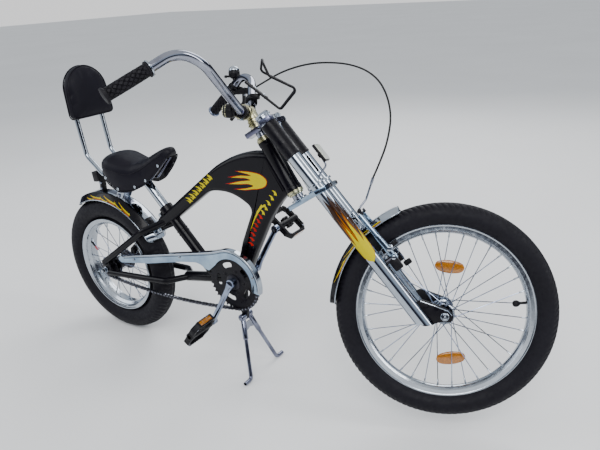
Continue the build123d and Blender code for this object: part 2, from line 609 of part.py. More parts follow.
caps = []
for sy in (-1, 1):
    caps.append(rod(leg_pt(-9, sy * LEG_Y), leg_pt(0, sy * LEG_Y), 20.0))
put("fork_caps", Compound(children=caps), True)

dps = []
for sy in (-1, 1):
    pts = [(994, 322), (1016, 336), (1078, 318), (1092, 306), (1088, 288), (1060, 286), (1030, 272), (1003, 281)]
    y0 = sy * 48.0
    d = plate_xz(pts, min(y0, y0 + sy * 8.4), max(y0, y0 + sy * 8.4))
    d = d - ring_y(FRONT_HUB_X, FRONT_HUB_Z, -90, 90, 4.9) - legs[0] - legs[1]
    dps.append(d.solids().sort_by(SortBy.VOLUME)[-1])
put("fork_dropouts", Compound(children=dps), True)

struts = []
for sy in (-1, 1):
    s0, s1 = S(41, sy * 30.5, T_LOW_CROWN + 12), S(41, sy * 30.5, T_TOP_CROWN - 6)
    s_ = rod(s0, s1, 5.5) - leg_cut[0] - leg_cut[1] - sleeves[0] - sleeves[1]
    struts.append(s_.solids().sort_by(SortBy.VOLUME)[-1])
put("fork_struts", Compound(children=struts), True)

# ---------------------------------------------------------------- stem and handlebar
BAR_R = 11.1
bar_c = Vector(574, 0, 745)
stem = rod(S(0, 0, T_TOP_CROWN + 6), S(0, 0, 652), 15.0) + rod((574, -26, 745), (574, 26, 745), 18.5)
stem = stem + rod(S(0, 0, 650), S(0, 0, 662), 9.0)
bar_half = [Vector(574, 44, 745), Vector(531.7, 188.1, 837.1), Vector(492.1, 232.1, 855.9),
            Vector(452.4, 265.9, 819), Vector(379.2, 321.4, 756)]
bar_all = [Vector(p.X, -p.Y, p.Z) for p in reversed(bar_half)] + bar_half
handlebar = bent(bar_all, [40, 74, 96, 26, 26, 96, 74, 40], BAR_R)
stem = stem - rod((574, -60, 745), (574, 60, 745), BAR_R + 0.02)
stem = stem.solids().sort_by(SortBy.VOLUME)[-1]
put("stem", stem, True)
put("handlebar", handlebar, True)
for nm, sy in (("grip_right", -1), ("grip_left", 1)):
    a, b = Vector(452.4, sy * 265.9, 819), Vector(379.2, sy * 321.4, 756)
    d = (b - a).normalized()
    g = rod(a + d * 3, b + d * 4, 14.0) + rod(b - d * 3, b + d * 4, 17.5) + rod(a + d * 3, a + d * 13, 18.0)
    g = g - rod(a, b, BAR_R + 0.02)
    put(nm, g, True)

# brake lever, bell and reflector
la, lb = Vector(492.1, 232.1, 855.9), Vector(452.4, 265.9, 819)   # straight run before the grip
ld = (lb - la).normalized()
lev_c = lb - ld * 6
lev_h = Vector(503.7, 256.8, 815.4)                                # front of the lever's housing
barrel_end = Vector(527.7, 247.8, 825.4)
clampring = rod(lev_c - ld * 5, lev_c + ld * 5, 15.5, BAR_R + 0.02)
housing = rod(lev_c + Vector(11, 0, -10), lev_h, 9.0)
barrel = rod(lev_h, barrel_end, 5.0)
barrel = barrel - rod(barrel_end, barrel_end + Vector(38, -13, 20), 8.0)
blade = bent([lev_c + Vector(34, -5, -10), lev_c + Vector(26, 26, -38), lev_c + Vector(-24, 66, -88)], [30], 5.0)
lever = (clampring + housing + barrel + blade) - rod(la, lb, BAR_R + 0.02, extra=40) - handlebar
lever = lever.solids().sort_by(SortBy.VOLUME)[-1]
put("brake_lever", lever, True)

bell_c = Vector(461, 258, 849)
bell_m = lb - ld * 19                                              # middle of its clamp
bell = rod(bell_c, Vector(457, 262, 884), 16.0) + rod(bell_m, bell_c + Vector(-0.5, 0.5, 4), 6.0) \
    + rod(bell_m - ld * 4, bell_m + ld * 4, 13.4)
bell = bell - handlebar - rod(la, lb, BAR_R + 0.02, extra=10) - lever
bell = bell.solids().sort_by(SortBy.VOLUME)[-1]
put("bell", bell, True)

rn = Vector(0.7536, 0, 0.6573)                     # square to the lens
refl = Solid.extrude(Face(Wire.make_polygon([Vector(761, 0, 658) + LD * a + Vector(0, b, 0) - rn * 4.5
                                             for a, b in ((-24, -29), (-20, -33), (20, -33), (24, -29),
                                                          (24, 29), (20, 33), (-20, 33), (-24, 29))])), rn * 9)
refl = refl + bent([(764, 0, 652), (775, 0, 628), (757, 0, 602), S(66, 0, T_LOW_CROWN + 12.2)], [10, 14], 2.6)
refl = refl.solids().sort_by(SortBy.VOLUME)[-1]
put("front_reflector", refl, True)

# front brake arms with their pads
arms = []
for sy in (-1, 1):
    a0 = Vector(948, sy * 45, 428)
    a1 = Vector(905, sy * 43, 474)
    a2 = Vector(862, sy * 34, 518)
    arm = bent([a0, a1, a2], [60], 5.5) + rod(a0 + Vector(0, 0, 0), a0 + Vector(-26, sy * 7, -22), 7.0)
    pad_b = rod(Vector(936, sy * 40, 446), Vector(936, sy * 20.5, 446), 4.0) \
        + Pos(936, sy * 19.7, 446) * Rot(0, -43, 0) * Box(44, 7.0, 11)
    arm = arm + pad_b - leg_cut[0] - leg_cut[1]
    arms.append(arm.solids().sort_by(SortBy.VOLUME)[-1])
put("front_brake", Compound(children=arms), True)

# ---------------------------------------------------------------- cable, cage, lamp, reflector
# ferrule of the noodle, where the cable ends, and the short curved pipe to the brake arm
NOODLE = [(884, 41, 602), (870, 41, 548), (856, 32, 527), (858, 12, 524)]
noodle = bent(NOODLE, [20, 12], 2.6) + rod(v(NOODLE[0]), v(NOODLE[0]) + (v(NOODLE[1]) - v(NOODLE[0])) * 0.3, 3.4)
last_run = (Vector(904, 52, 656) - v(NOODLE[0])).normalized()
noodle = noodle - arms[0] - arms[1] - rod(v(NOODLE[0]), v(NOODLE[0]) + last_run * 12, 6.0)
noodle = noodle.solids().sort_by(SortBy.VOLUME)[-1]
put("brake_noodle", noodle, True)

# brake cable: route from the lever's barrel adjuster, forward and down to the noodle
CABLE_D = 5.0
CABLE = [tuple(barrel_end), tuple(barrel_end + Vector(38, -13, 20)), (606, 226, 866), (654, 220, 882), (703, 210, 890), (751, 197, 890),
         (798, 180, 884), (843, 158, 868), (880, 136, 840), (904, 112, 798), (916, 90, 752), (914, 70, 704),
         (904, 52, 656), tuple(NOODLE[0])]


def cord_radii(points):
    out = []
    for i in range(1, len(points) - 1):
        a, b, c = [v(q) for q in points[i - 1:i + 2]]
        r1, r2 = (b - a), (c - b)
        turn = math.radians(r1.get_angle(r2))
        out.append(0.45 * min(r1.length, r2.length) / math.tan(turn / 2))
    return out


radii = cord_radii(CABLE)
print("cable runs", [round((v(b) - v(a)).length, 1) for a, b in zip(CABLE, CABLE[1:])])
print("cable radii", [round(r, 1) for r in radii])
cable_path = FilletPolyline(*CABLE, radius=radii)
cable = sweep(Plane(origin=CABLE[0], z_dir=tuple(v(CABLE[1]) - v(CABLE[0]))) * Circle(CABLE_D / 2), path=cable_path)
print("cable length", round(cable_path.length, 1), "volume ratio",
      round(cable.volume / (math.pi * CABLE_D ** 2 / 4 * cable_path.length), 4))
put("brake_cable", cable, True)

# wire bottle cage on the left riser of the bar
CAGE = [(546, 76, 824), (641, 76, 758), (684, 62, 808), (613, 56, 838), (597, 62, 866), (585, 90, 884), (575, 118, 856),
        (597, 124, 846), (670, 118, 814), (633, 104, 760), (540, 104, 828)]
cage_path = FilletPolyline(*CAGE, radius=[7, 9, 14, 12, 14, 12, 14, 9, 7])
cage = sweep(Plane(origin=CAGE[0], z_dir=tuple(v(CAGE[1]) - v(CAGE[0]))) * Circle(3.2), path=cage_path)
cage = cage + rod((560, 74, 814.4), (556, 106, 817.4), 3.8) + rod((600, 74, 786.6), (596, 106, 788.6), 3.8)
riser_a, riser_b = Vector(574, 44, 745), Vector(531.7, 188.1, 837.1)
rdir = (riser_b - riser_a).normalized()
rc = riser_a + (riser_b - riser_a) * 0.36
cage = cage + rod(rc - rdir * 9, rc + rdir * 9, 15.5) + rod(rc, Vector(578, 90, 801), 6.0) \
    + rod((560, 90, 815), (600, 90, 787), 4.0)
cage = cage - rod(riser_a, riser_b, BAR_R + 0.02)
cage = cage.solids().sort_by(SortBy.VOLUME)[-1]
put("bottle_cage", cage, True)

# small lamp clamped on the bar beside the stem
lamp = rod((531, -44, 746), (554, -44, 746), 16.5) + rod((554, -44, 746), (563, -44, 746), 12.0) \
    + rod((556, -44, 750), (576, -40, 746), 7.0)
lamp = lamp + rod((574, -46, 745), (574, -30, 745), 15.0)
lamp = lamp - handlebar - stem - rod((574, -60, 745), (574, 60, 745), BAR_R + 0.02)
lamp = lamp.solids().sort_by(SortBy.VOLUME)[-1]
put("bar_lamp", lamp, True)

# rear reflector on a bracket over the mudguard
rear_refl = Pos(-23, 0, 516) * Rot(0, -8, 0) * Box(26, 46, 32)
rear_refl = rear_refl + plate_xz([(-30, 440), (-14, 440), (-12, 508), (-28, 508)], -9, 9)
rear_refl = rear_refl - rod((0, -40, REAR_HUB_Z), (0, 40, REAR_HUB_Z), 242.8)
rear_refl = rear_refl.solids().sort_by(SortBy.VOLUME)[-1]
put("rear_reflector", rear_refl)

# two brackets that tie the mudguard to the backrest bar under the saddle
ties = []
for sy in (-1, 1):
    yy = sorted((sy * 14.0, sy * 18.0))
    t_ = plate_xz([(52, 430), (78, 430), (108, 500), (118, 508), (118, 528), (92, 530), (80, 505)], yy[0], yy[1])
    t_ = t_ - rear_guard - rod((0, -60, REAR_HUB_Z), (0, 60, REAR_HUB_Z), 242.85) - sissy - saddle - base
    ties.append(t_.solids().sort_by(SortBy.VOLUME)[-1])
put("guard_brackets", Compound(children=ties))

# ---------------------------------------------------------------- write the files
order = sorted(PARTS)
lo = [1e9] * 3
hi = [-1e9] * 3
for nm in order:
    shp = PARTS[nm]
    export_step(shp, "parts/" + nm + ".step")
    bb = shp.bounding_box()
    for i, (a, b) in enumerate(zip(tuple(bb.min), tuple(bb.max))):
        lo[i] = min(lo[i], a)
        hi[i] = max(hi[i], b)
print("nodes", len(order))
print("box", [round(x, 1) for x in lo], [round(x, 1) for x in hi])
print("centre", round((lo[0] + hi[0]) / 2, 2), round((lo[1] + hi[1]) / 2, 2))
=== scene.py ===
import bpy, bmesh, math, json, random
import numpy as np
from mathutils import Vector, Matrix

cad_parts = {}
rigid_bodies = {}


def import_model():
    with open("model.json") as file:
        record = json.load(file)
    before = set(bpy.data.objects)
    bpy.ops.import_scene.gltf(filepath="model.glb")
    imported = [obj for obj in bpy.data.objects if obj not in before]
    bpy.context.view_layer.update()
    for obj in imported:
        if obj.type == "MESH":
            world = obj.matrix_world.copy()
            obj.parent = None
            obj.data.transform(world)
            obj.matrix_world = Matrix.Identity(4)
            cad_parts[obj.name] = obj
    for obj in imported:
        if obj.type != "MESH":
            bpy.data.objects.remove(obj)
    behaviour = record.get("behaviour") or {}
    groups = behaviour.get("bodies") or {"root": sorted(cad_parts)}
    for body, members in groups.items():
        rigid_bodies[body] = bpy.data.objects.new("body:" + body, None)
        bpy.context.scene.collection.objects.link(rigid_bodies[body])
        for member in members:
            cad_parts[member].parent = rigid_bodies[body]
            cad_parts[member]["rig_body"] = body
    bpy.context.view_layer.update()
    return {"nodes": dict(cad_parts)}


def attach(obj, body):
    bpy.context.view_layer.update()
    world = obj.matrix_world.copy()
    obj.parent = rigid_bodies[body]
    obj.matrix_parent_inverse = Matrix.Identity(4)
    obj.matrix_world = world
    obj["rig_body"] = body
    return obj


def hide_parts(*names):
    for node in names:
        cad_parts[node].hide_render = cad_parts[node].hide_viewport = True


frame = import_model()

NODES = frame["nodes"]
random.seed(7)
RNG = np.random.default_rng(7)

# ------------------------------------------------------------------ shared sizes (mm, bike frame)
# X forward, Y to the rider's left, Z up, rear axle middle over x = y = 0
REF = (536.28, -65.28)
HEAD = math.radians(57.1)
AX = np.array([-math.cos(HEAD), 0, math.sin(HEAD)])
NV = np.array([math.sin(HEAD), 0, math.cos(HEAD)])
SO = np.array([929.8, 0, 208.5])
PARK = math.radians(26.3)
RHUB = (0.0, 224.4)
FHUB = (1071.1, 300.0)
M_ROW = Matrix.Translation(Vector((-REF[0] / 1000, -REF[1] / 1000, 0))) @ Matrix.Scale(0.001, 4)
M_ST = M_ROW @ Matrix.Translation(Vector(SO)) @ Matrix.Rotation(PARK, 4, Vector(AX)) @ Matrix.Translation(-Vector(SO))


def V(*p):
    return np.array(p, float)


def S(n, y, t):
    """point in the steering plane: n forward of the axis, y left, t up the axis"""
    return SO + NV * n + AX * t + V(0, y, 0)


def row(p, steered=False):
    return (M_ST if steered else M_ROW) @ Vector(p)


# ------------------------------------------------------------------ camera
cam_d = bpy.data.cameras.new("cam")
cam = bpy.data.objects.new("cam", cam_d)
bpy.context.scene.collection.objects.link(cam)
cam_d.sensor_width = 36.0
cam_d.lens = 36.0 * 596.434 / 600.0
cam_d.clip_end = 200
RX = (0.8355017, 0.5467827, -0.0544572)
DN = (0.1598248, -0.3366395, -0.9279708)
FW = (-0.5257309, 0.7666176, -0.3686523)
C = row((1482.776, -1127.292, 1017.458))
cam.matrix_world = Matrix(((RX[0], -DN[0], -FW[0], C.x), (RX[1], -DN[1], -FW[1], C.y), (RX[2], -DN[2], -FW[2], C.z),
                           (0, 0, 0, 1)))
bpy.context.scene.camera = cam

# ------------------------------------------------------------------ materials
MATS = {}


class NT:
    """small helper to lay out shader nodes"""

    def __init__(self, name):
        self.m = bpy.data.materials.new(name)
        self.m.use_nodes = True
        self.t = self.m.node_tree
        self.b = self.t.nodes["Principled BSDF"]
        MATS[name] = self.m

    def n(self, kind, **kw):
        nd = self.t.nodes.new("ShaderNode" + kind)
        for k, val in kw.items():
            if k.startswith("i_"):
                nd.inputs[int(k[2:])].default_value = val
            else:
                setattr(nd, k, val)
        return nd

    def l(self, a, b):
        self.t.links.new(a, b)

    def coords(self):
        return self.n("TexCoord").outputs["Object"]

    def noise(self, scale, detail=4.0, rough=0.55, co=None, dist=0.0):
        nd = self.n("TexNoise")
        nd.inputs["Scale"].default_value = scale
        nd.inputs["Detail"].default_value = detail
        nd.inputs["Roughness"].default_value = rough
        nd.inputs["Distortion"].default_value = dist
        self.l(co if co is not None else self.coords(), nd.inputs["Vector"])
        return nd.outputs["Fac"]

    def ramp(self, fac, stops):
        nd = self.n("ValToRGB")
        cr = nd.color_ramp
        while len(cr.elements) > 1:
            cr.elements.remove(cr.elements[-1])
        cr.elements[0].position = stops[0][0]
        cr.elements[0].color = (*stops[0][1], 1)
        for p, c in stops[1:]:
            e = cr.elements.new(p)
            e.color = (*c, 1)
        self.l(fac, nd.inputs[0])
        return nd.outputs["Color"]

    def rng(self, fac, a, b, f0=0.0, f1=1.0):
        nd = self.n("MapRange")
        nd.inputs["From Min"].default_value = f0
        nd.inputs["From Max"].default_value = f1
        nd.inputs["To Min"].default_value = a
        nd.inputs["To Max"].default_value = b
        self.l(fac, nd.inputs["Value"])
        return nd.outputs[0]

    def bump(self, h, strength=0.3, dist=0.001):
        nd = self.n("Bump")
        nd.inputs["Strength"].default_value = strength
        nd.inputs["Distance"].default_value = dist
        self.l(h, nd.inputs["Height"])
        return nd.outputs[0]


def g(x):
    return (x, x, x)


def metal(name, base, rough, scale=60.0, var=0.06, smudge=0.05, bump=0.02, tint=None):
    k = NT(name)
    k.b.inputs["Metallic"].default_value = 1.0
    n1 = k.noise(scale * 0.35, 5.0, 0.6)
    lo = tuple(max(0, c * (1 - var)) for c in base)
    hi = tuple(min(1, c * (1 + var * 0.5)) for c in (tint or base))
    k.l(k.ramp(n1, [(0.35, lo), (0.68, hi)]), k.b.inputs["Base Color"])
    n2 = k.noise(scale * 1.7, 6.0, 0.62, dist=0.4)
    k.l(k.rng(n2, max(0.02, rough - smudge * 0.4), rough + smudge, 0.35, 0.75), k.b.inputs["Roughness"])
    n3 = k.noise(scale * 5, 3.0)
    k.l(k.bump(n3, bump, 0.0004), k.b.inputs["Normal"])
    return k.m


def paint(name, base, rough=0.12, coat=0.8, var=0.25, peel=0.012, spec=0.5):
    k = NT(name)
    n1 = k.noise(14.0, 4.0)
    lo = tuple(c * (1 - var) for c in base)
    hi = tuple(min(1, c * (1 + var)) for c in base)
    k.l(k.ramp(n1, [(0.3, lo), (0.7, hi)]), k.b.inputs["Base Color"])
    n2 = k.noise(70.0, 6.0, 0.65, dist=0.5)
    k.l(k.rng(n2, rough * 0.6, rough * 1.9, 0.35, 0.75), k.b.inputs["Roughness"])
    k.b.inputs["Specular IOR Level"].default_value = spec
    k.b.inputs["Coat Weight"].default_value = coat
    k.b.inputs["Coat Roughness"].default_value = 0.05
    n3 = k.noise(240.0, 2.0)
    k.l(k.bump(n3, peel, 0.0005), k.b.inputs["Normal"])
    return k.m


def plastic(name, base, rough=0.45, var=0.25, grain=420.0, bump=0.06, spec=0.5):
    k = NT(name)
    n1 = k.noise(22.0, 5.0)
    k.l(k.ramp(n1, [(0.3, tuple(c * (1 - var) for c in base)), (0.72, tuple(min(1, c * (1 + var)) for c in base))]),
        k.b.inputs["Base Color"])
    n2 = k.noise(55.0, 5.0, 0.6)
    k.l(k.rng(n2, rough - 0.08, rough + 0.12, 0.3, 0.7), k.b.inputs["Roughness"])
    k.b.inputs["Specular IOR Level"].default_value = spec
    n3 = k.noise(grain, 3.0, 0.6)
    k.l(k.bump(n3, bump, 0.0006), k.b.inputs["Normal"])
    return k.m


m_chrome = metal("chrome", (0.36, 0.40, 0.46), 0.045, 40, 0.06, 0.05, 0.012, tint=(0.46, 0.51, 0.57))
# handlebar chrome: a darker copy of the chrome, painted shade standing for the dark reflections along the bar
m_bar_shaded_chrome = metal("bar_chrome_painted_shade", (0.24, 0.25, 0.31), 0.06, 40, 0.10, 0.05, 0.012, tint=(0.36, 0.38, 0.44))
m_chrome_blue = metal("chrome_blue", (0.25, 0.35, 0.48), 0.13, 40, 0.12, 0.10, 0.03, tint=(0.40, 0.52, 0.64))
m_crown = metal("crown_plate", (0.13, 0.12, 0.20), 0.20, 50, 0.15, 0.10, 0.03, tint=(0.25, 0.27, 0.37))
m_crank = metal("crank_plate", (0.13, 0.15, 0.23), 0.10, 50, 0.20, 0.08, 0.02, tint=(0.34, 0.40, 0.52))
m_stand = metal("stand_rod", (0.10, 0.10, 0.15), 0.16, 60, 0.20, 0.10, 0.03, tint=(0.26, 0.28, 0.36))
m_steel = metal("plated_steel", (0.30, 0.32, 0.38), 0.20, 80, 0.12, 0.12, 0.05)
m_alu = metal("rim_alloy", (0.46, 0.50, 0.55), 0.19, 60, 0.10, 0.12, 0.05)
m_brass = metal("yellow_zinc", (0.40, 0.37, 0.20), 0.22, 90, 0.28, 0.15, 0.05, tint=(0.62, 0.60, 0.42))
m_dark = metal("dark_steel", (0.045, 0.045, 0.055), 0.30, 90, 0.3, 0.15, 0.08)
m_black = paint("frame_black", (0.0030, 0.0026, 0.0046), 0.16, 0.0, 0.25, 0.012, 0.16)
m_satin = paint("satin_black", (0.0040, 0.0035, 0.0062), 0.32, 0.0, 0.25, 0.03, 0.18)
m_plast = plastic("black_plastic", (0.0045, 0.0040, 0.0060), 0.42, spec=0.20)
m_cable = plastic("cable_cover", (0.0040, 0.0040, 0.0050), 0.30, 0.2, 900, 0.03, 0.26)
m_grip = plastic("grip_rubber", (0.0075, 0.0065, 0.0100), 0.58, 0.3, 700, 0.10, 0.22)
m_pan = plastic("pan_brown", (0.022, 0.012, 0.010), 0.55, 0.3, 500, 0.08, 0.25)
m_yellow = paint("decal_yellow", (0.54, 0.45, 0.0), 0.30, 0.0, 0.06, 0.01, 0.08)
m_red = paint("decal_red", (0.40, 0.006, 0.002), 0.30, 0.0, 0.12, 0.01, 0.08)
# dark metal for the mudguard crowns: a painted reflection of dark surroundings (the saddle over the rear guard) in the
# chrome
m_guard_painted_reflection = metal("guard_top_painted_reflection", (0.055, 0.060, 0.085), 0.10, 50, 0.20, 0.08, 0.02, tint=(0.12, 0.13, 0.17))
m_brown = paint("decal_brown", (0.030, 0.010, 0.003), 0.22, 0.0, 0.3, 0.01, 0.2)
m_orange = paint("decal_orange", (0.30, 0.085, 0.002), 0.30, 0.0, 0.2, 0.01, 0.1)
m_redcap = plastic("red_plastic", (0.35, 0.010, 0.020), 0.35)
m_white = plastic("lens_white", (0.62, 0.64, 0.56), 0.14, 0.12, 900, 0.10)


def lens(name, base):
    k = NT(name)
    co = k.coords()
    vo = k.n("TexVoronoi")
    vo.inputs["Scale"].default_value = 340.0
    k.l(co, vo.inputs["Vector"])
    k.l(k.ramp(vo.outputs["Distance"], [(0.0, tuple(c * 1.25 for c in base)), (0.6, tuple(c * 0.62 for c in base))]),
        k.b.inputs["Base Color"])
    k.b.inputs["Roughness"].default_value = 0.12
    k.b.inputs["Coat Weight"].default_value = 1.0
    k.b.inputs["Coat Roughness"].default_value = 0.04
    k.l(k.bump(vo.outputs["Distance"], 0.35, 0.0008), k.b.inputs["Normal"])
    return k.m


m_amber = lens("lens_amber", (0.50, 0.17, 0.003))
m_redlens = lens("lens_red", (0.40, 0.012, 0.010))


def tyre_mat():
    k = NT("tyre_rubber")
    n1 = k.noise(9.0, 6.0, 0.62)
    k.l(k.ramp(n1, [(0.3, (0.0032, 0.0026, 0.0056)), (0.62, (0.0048, 0.0042, 0.0080)), (0.85, (0.0085, 0.0075, 0.0115))]),
        k.b.inputs["Base Color"])
    n2 = k.noise(120.0, 5.0, 0.65)
    k.l(k.rng(n2, 0.50, 0.78, 0.3, 0.7), k.b.inputs["Roughness"])
    k.b.inputs["Specular IOR Level"].default_value = 0.22
    n3 = k.noise(650.0, 3.0)
    k.l(k.bump(n3, 0.14, 0.0006), k.b.inputs["Normal"])
    return k.m


m_tyre = tyre_mat()


def vinyl_mat():
    k = NT("black_vinyl")
    co = k.coords()
    n1 = k.noise(7.0, 4.0, 0.5)
    k.l(k.ramp(n1, [(0.3, (0.0026, 0.0020, 0.0056)), (0.75, (0.0052, 0.0044, 0.0100))]), k.b.inputs["Base Color"])
    n2 = k.noise(45.0, 5.0, 0.6)
    k.l(k.rng(n2, 0.40, 0.56, 0.3, 0.7), k.b.inputs["Roughness"])
    k.b.inputs["Specular IOR Level"].default_value = 0.17
    k.b.inputs["Sheen Weight"].default_value = 0.0
    k.b.inputs["Sheen Roughness"].default_value = 0.45
    vo = k.n("TexVoronoi")
    vo.feature = "F1"
    vo.inputs["Scale"].default_value = 520.0
    k.l(co, vo.inputs["Vector"])
    wr = k.noise(26.0, 5.0, 0.6, dist=1.0)
    mx = k.n("Math", operation="MULTIPLY_ADD")
    mx.inputs[1].default_value = 0.35
    k.l(vo.outputs["Distance"], mx.inputs[0])
    k.l(wr, mx.inputs[2])
    k.l(k.bump(mx.outputs[0], 0.22, 0.0012), k.b.inputs["Normal"])
    return k.m


m_vinyl = vinyl_mat()


# ------------------------------------------------------------------ mesh helpers (mm in, row frame out)
def add(name, verts, faces, body, mat, steered=False, smooth=40, node=None, mats=None, mat_ids=None):
    me = bpy.data.meshes.new(name)
    me.from_pydata([tuple(map(float, q)) for q in verts], [], [tuple(map(int, f)) for f in faces])
    me.transform(M_ST if steered else M_ROW)
    me.validate()
    for m in (mats or [mat]):
        me.materials.append(m)
    if mat_ids is not None:
        me.polygons.foreach_set("material_index", np.array(mat_ids, np.int32))
    o = bpy.data.objects.new(name, me)
    bpy.context.scene.collection.objects.link(o)
    return done(o, body, smooth, node)


def done(o, body, smooth=40, node=None):
    me = o.data
    bm = bmesh.new()
    bm.from_mesh(me)
    bmesh.ops.recalc_face_normals(bm, faces=bm.faces)
    bm.to_mesh(me)
    bm.free()
    if smooth:
        me.polygons.foreach_set("use_smooth", [True] * len(me.polygons))
        me.set_sharp_from_angle(angle=math.radians(smooth))
    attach(o, body)
    if node:
        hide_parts(*([node] if isinstance(node, str) else node))
    return o


class Geo:
    """collects vertices and faces of several shapes into one mesh"""

    def __init__(self):
        self.v, self.f, self.m = [], [], []

    def put(self, verts, faces, mid=0):
        k = len(self.v)
        self.v.extend([tuple(q) for q in verts])
        self.f.extend([tuple(i + k for i in q) for q in faces])
        self.m.extend([mid] * len(faces))
        return self

    def out(self, name, body, mats, steered=False, smooth=40, node=None, slot=None):
        mats = mats if isinstance(mats, (list, tuple)) else [mats]
        return add(name, self.v, self.f, body, None, steered, smooth, node, mats, self.m)


def frame_of(d):
    d = np.array(d, float)
    d /= np.linalg.norm(d)
    a = V(0, 0, 1) if abs(d[2]) < 0.9 else V(1, 0, 0)
    x = np.cross(a, d)
    x /= np.linalg.norm(x)
    return x, np.cross(d, x), d


def lathe(profile, origin, axis, seg=48, closed=False, a0=0.0, a1=360.0, ref=None):
    """profile of (radius, distance along the axis), turned about the axis; closed joins last to first"""
    x, y, d = frame_of(axis)
    if ref is not None:
        x = np.array(ref, float) - d * np.dot(ref, d)
        x /= np.linalg.norm(x)
        y = np.cross(d, x)
    origin = np.array(origin, float)
    full = abs(a1 - a0) >= 359.9
    ns = seg if full else seg + 1
    vs, fs = [], []
    n = len(profile)
    for i in range(ns):
        a = math.radians(a0 + (a1 - a0) * i / seg)
        u = x * math.cos(a) + y * math.sin(a)
        for r, h in profile:
            vs.append(origin + u * r + d * h)
    rng = n if closed else n - 1
    for i in range(seg if full else seg):
        j = (i + 1) % ns if full else i + 1
        for k in range(rng):
            k2 = (k + 1) % n
            fs.append((i * n + k, j * n + k, j * n + k2, i * n + k2))
    if not full and closed:
        fs.append(tuple(range(n)))
        fs.append(tuple((ns - 1) * n + k for k in reversed(range(n))))
    return vs, fs


def rodm(p, q, r, seg=24, bev=0.6, r2=None):
    """round bar with slightly rounded ends"""
    p, q = np.array(p, float), np.array(q, float)
    L = np.linalg.norm(q - p)
    r2 = r if r2 is None else r2
    b = min(bev, r * 0.4, L * 0.4)
    prof = [(0.001, 0), (r - b, 0), (r - b * 0.3, b * 0.3), (r, b), (r2, L - b), (r2 - b * 0.3, L - b * 0.3), (r2 - b, L),
            (0.001, L)]
    return lathe(prof, p, q - p, seg)


def arc_path(pts, radii, step=6.0):
    """straight runs with rounded corners, for rigid bent tubes"""
    pts = [np.array(p, float) for p in pts]
    if not isinstance(radii, (list, tuple)):
        radii = [radii] * (len(pts) - 2)
    out = [pts[0]]
    for i in range(1, len(pts) - 1):
        a, b, c = pts[i - 1], pts[i], pts[i + 1]
        u, w = (a - b), (c - b)
        u /= np.linalg.norm(u)
        w /= np.linalg.norm(w)
        half = math.acos(max(-1, min(1, float(np.dot(u, w))))) / 2
        t = radii[i - 1] / math.tan(half)
        bis = (u + w)
        bis /= np.linalg.norm(bis)
        cen = b + bis * radii[i - 1] / math.sin(half)
        s, e = b + u * t, b + w * t
        n = max(4, int(radii[i - 1] * (math.pi - 2 * half) / step) + 2)
        v0, v1 = s - cen, e - cen
        tot = math.acos(max(-1, min(1, float(np.dot(v0, v1)) / radii[i - 1] ** 2)))
        for k in range(n + 1):
            f = k / n
            out.append(cen + (math.sin((1 - f) * tot) * v0 + math.sin(f * tot) * v1) / math.sin(tot))
    out.append(pts[-1])
    return out


def sweep(path, r, seg=20, closed=False, caps=True, section=None):
    """tube along a path; r may be a list of radii; section an optional list of 2-D points"""
    P = [np.array(p, float) for p in path]
    n = len(P)
    T = []
    for i in range(n):
        if closed:
            d = P[(i + 1) % n] - P[i - 1]
        else:
            d = P[min(i + 1, n - 1)] - P[max(i - 1, 0)]
        T.append(d / np.linalg.norm(d))
    x, y, _ = frame_of(T[0])
    vs, fs = [], []
    sec = section or [(math.cos(2 * math.pi * k / seg), math.sin(2 * math.pi * k / seg)) for k in range(seg)]
    m = len(sec)
    for i in range(n):
        if i:
            x = x - T[i] * np.dot(x, T[i])
            x /= np.linalg.norm(x)
            y = np.cross(T[i], x)
        rr = r[i] if isinstance(r, (list, tuple, np.ndarray)) else r
        for a, b in sec:
            vs.append(P[i] + (x * a + y * b) * rr)
    for i in range(n if closed else n - 1):
        j = (i + 1) % n
        for k in range(m):
            k2 = (k + 1) % m
            fs.append((i * m + k, i * m + k2, j * m + k2, j * m + k))
    if caps and not closed:
        fs.append(tuple(reversed(range(m))))
        fs.append(tuple((n - 1) * m + k for k in range(m)))
    return vs, fs


def prism(outline, lo, hi, to3, bevel=1.0, seg=2):
    """flat plate: outline in 2-D, thickness lo..hi, to3(a, b, h) places it; edges rounded with bmesh"""
    bm = bmesh.new()
    ring = [bm.verts.new((a, b, lo)) for a, b in outline]
    f = bm.faces.new(ring)
    ext = bmesh.ops.extrude_face_region(bm, geom=[f])
    for e in ext["geom"]:
        if isinstance(e, bmesh.types.BMVert):
            e.co.z = hi
    bmesh.ops.recalc_face_normals(bm, faces=bm.faces)
    if bevel > 0:
        rim = [e for e in bm.edges if abs(e.verts[0].co.z - e.verts[1].co.z) < 1e-6]
        bmesh.ops.bevel(bm, geom=rim, offset=bevel, segments=seg, profile=0.5, affect="EDGES", clamp_overlap=True)
    bm.verts.index_update()
    vs = [to3(q.co.x, q.co.y, q.co.z) for q in bm.verts]
    fs = [tuple(q.index for q in f.verts) for f in bm.faces]
    bm.free()
    return vs, fs


def xz(y_sign=1):
    return lambda a, b, h: (a, h, b)


def steer_plane(a, b, h):
    """2-D (n, y) outline, thickness along the steering axis"""
    return S(a, b, h)


def hexnut(p, q, af, bev=0.8):
    """hexagonal nut from p to q, across flats af"""
    x, y, d = frame_of(np.array(q, float) - np.array(p, float))
    L = np.linalg.norm(np.array(q, float) - np.array(p, float))
    R = af / math.sqrt(3)
    sec = [(R * math.cos(math.radians(60 * i)), R * math.sin(math.radians(60 * i))) for i in range(6)]
    p = np.array(p, float)
    return prism(sec, 0, L, lambda a, b, h: p + x * a + y * b + d * h, bev, 2)


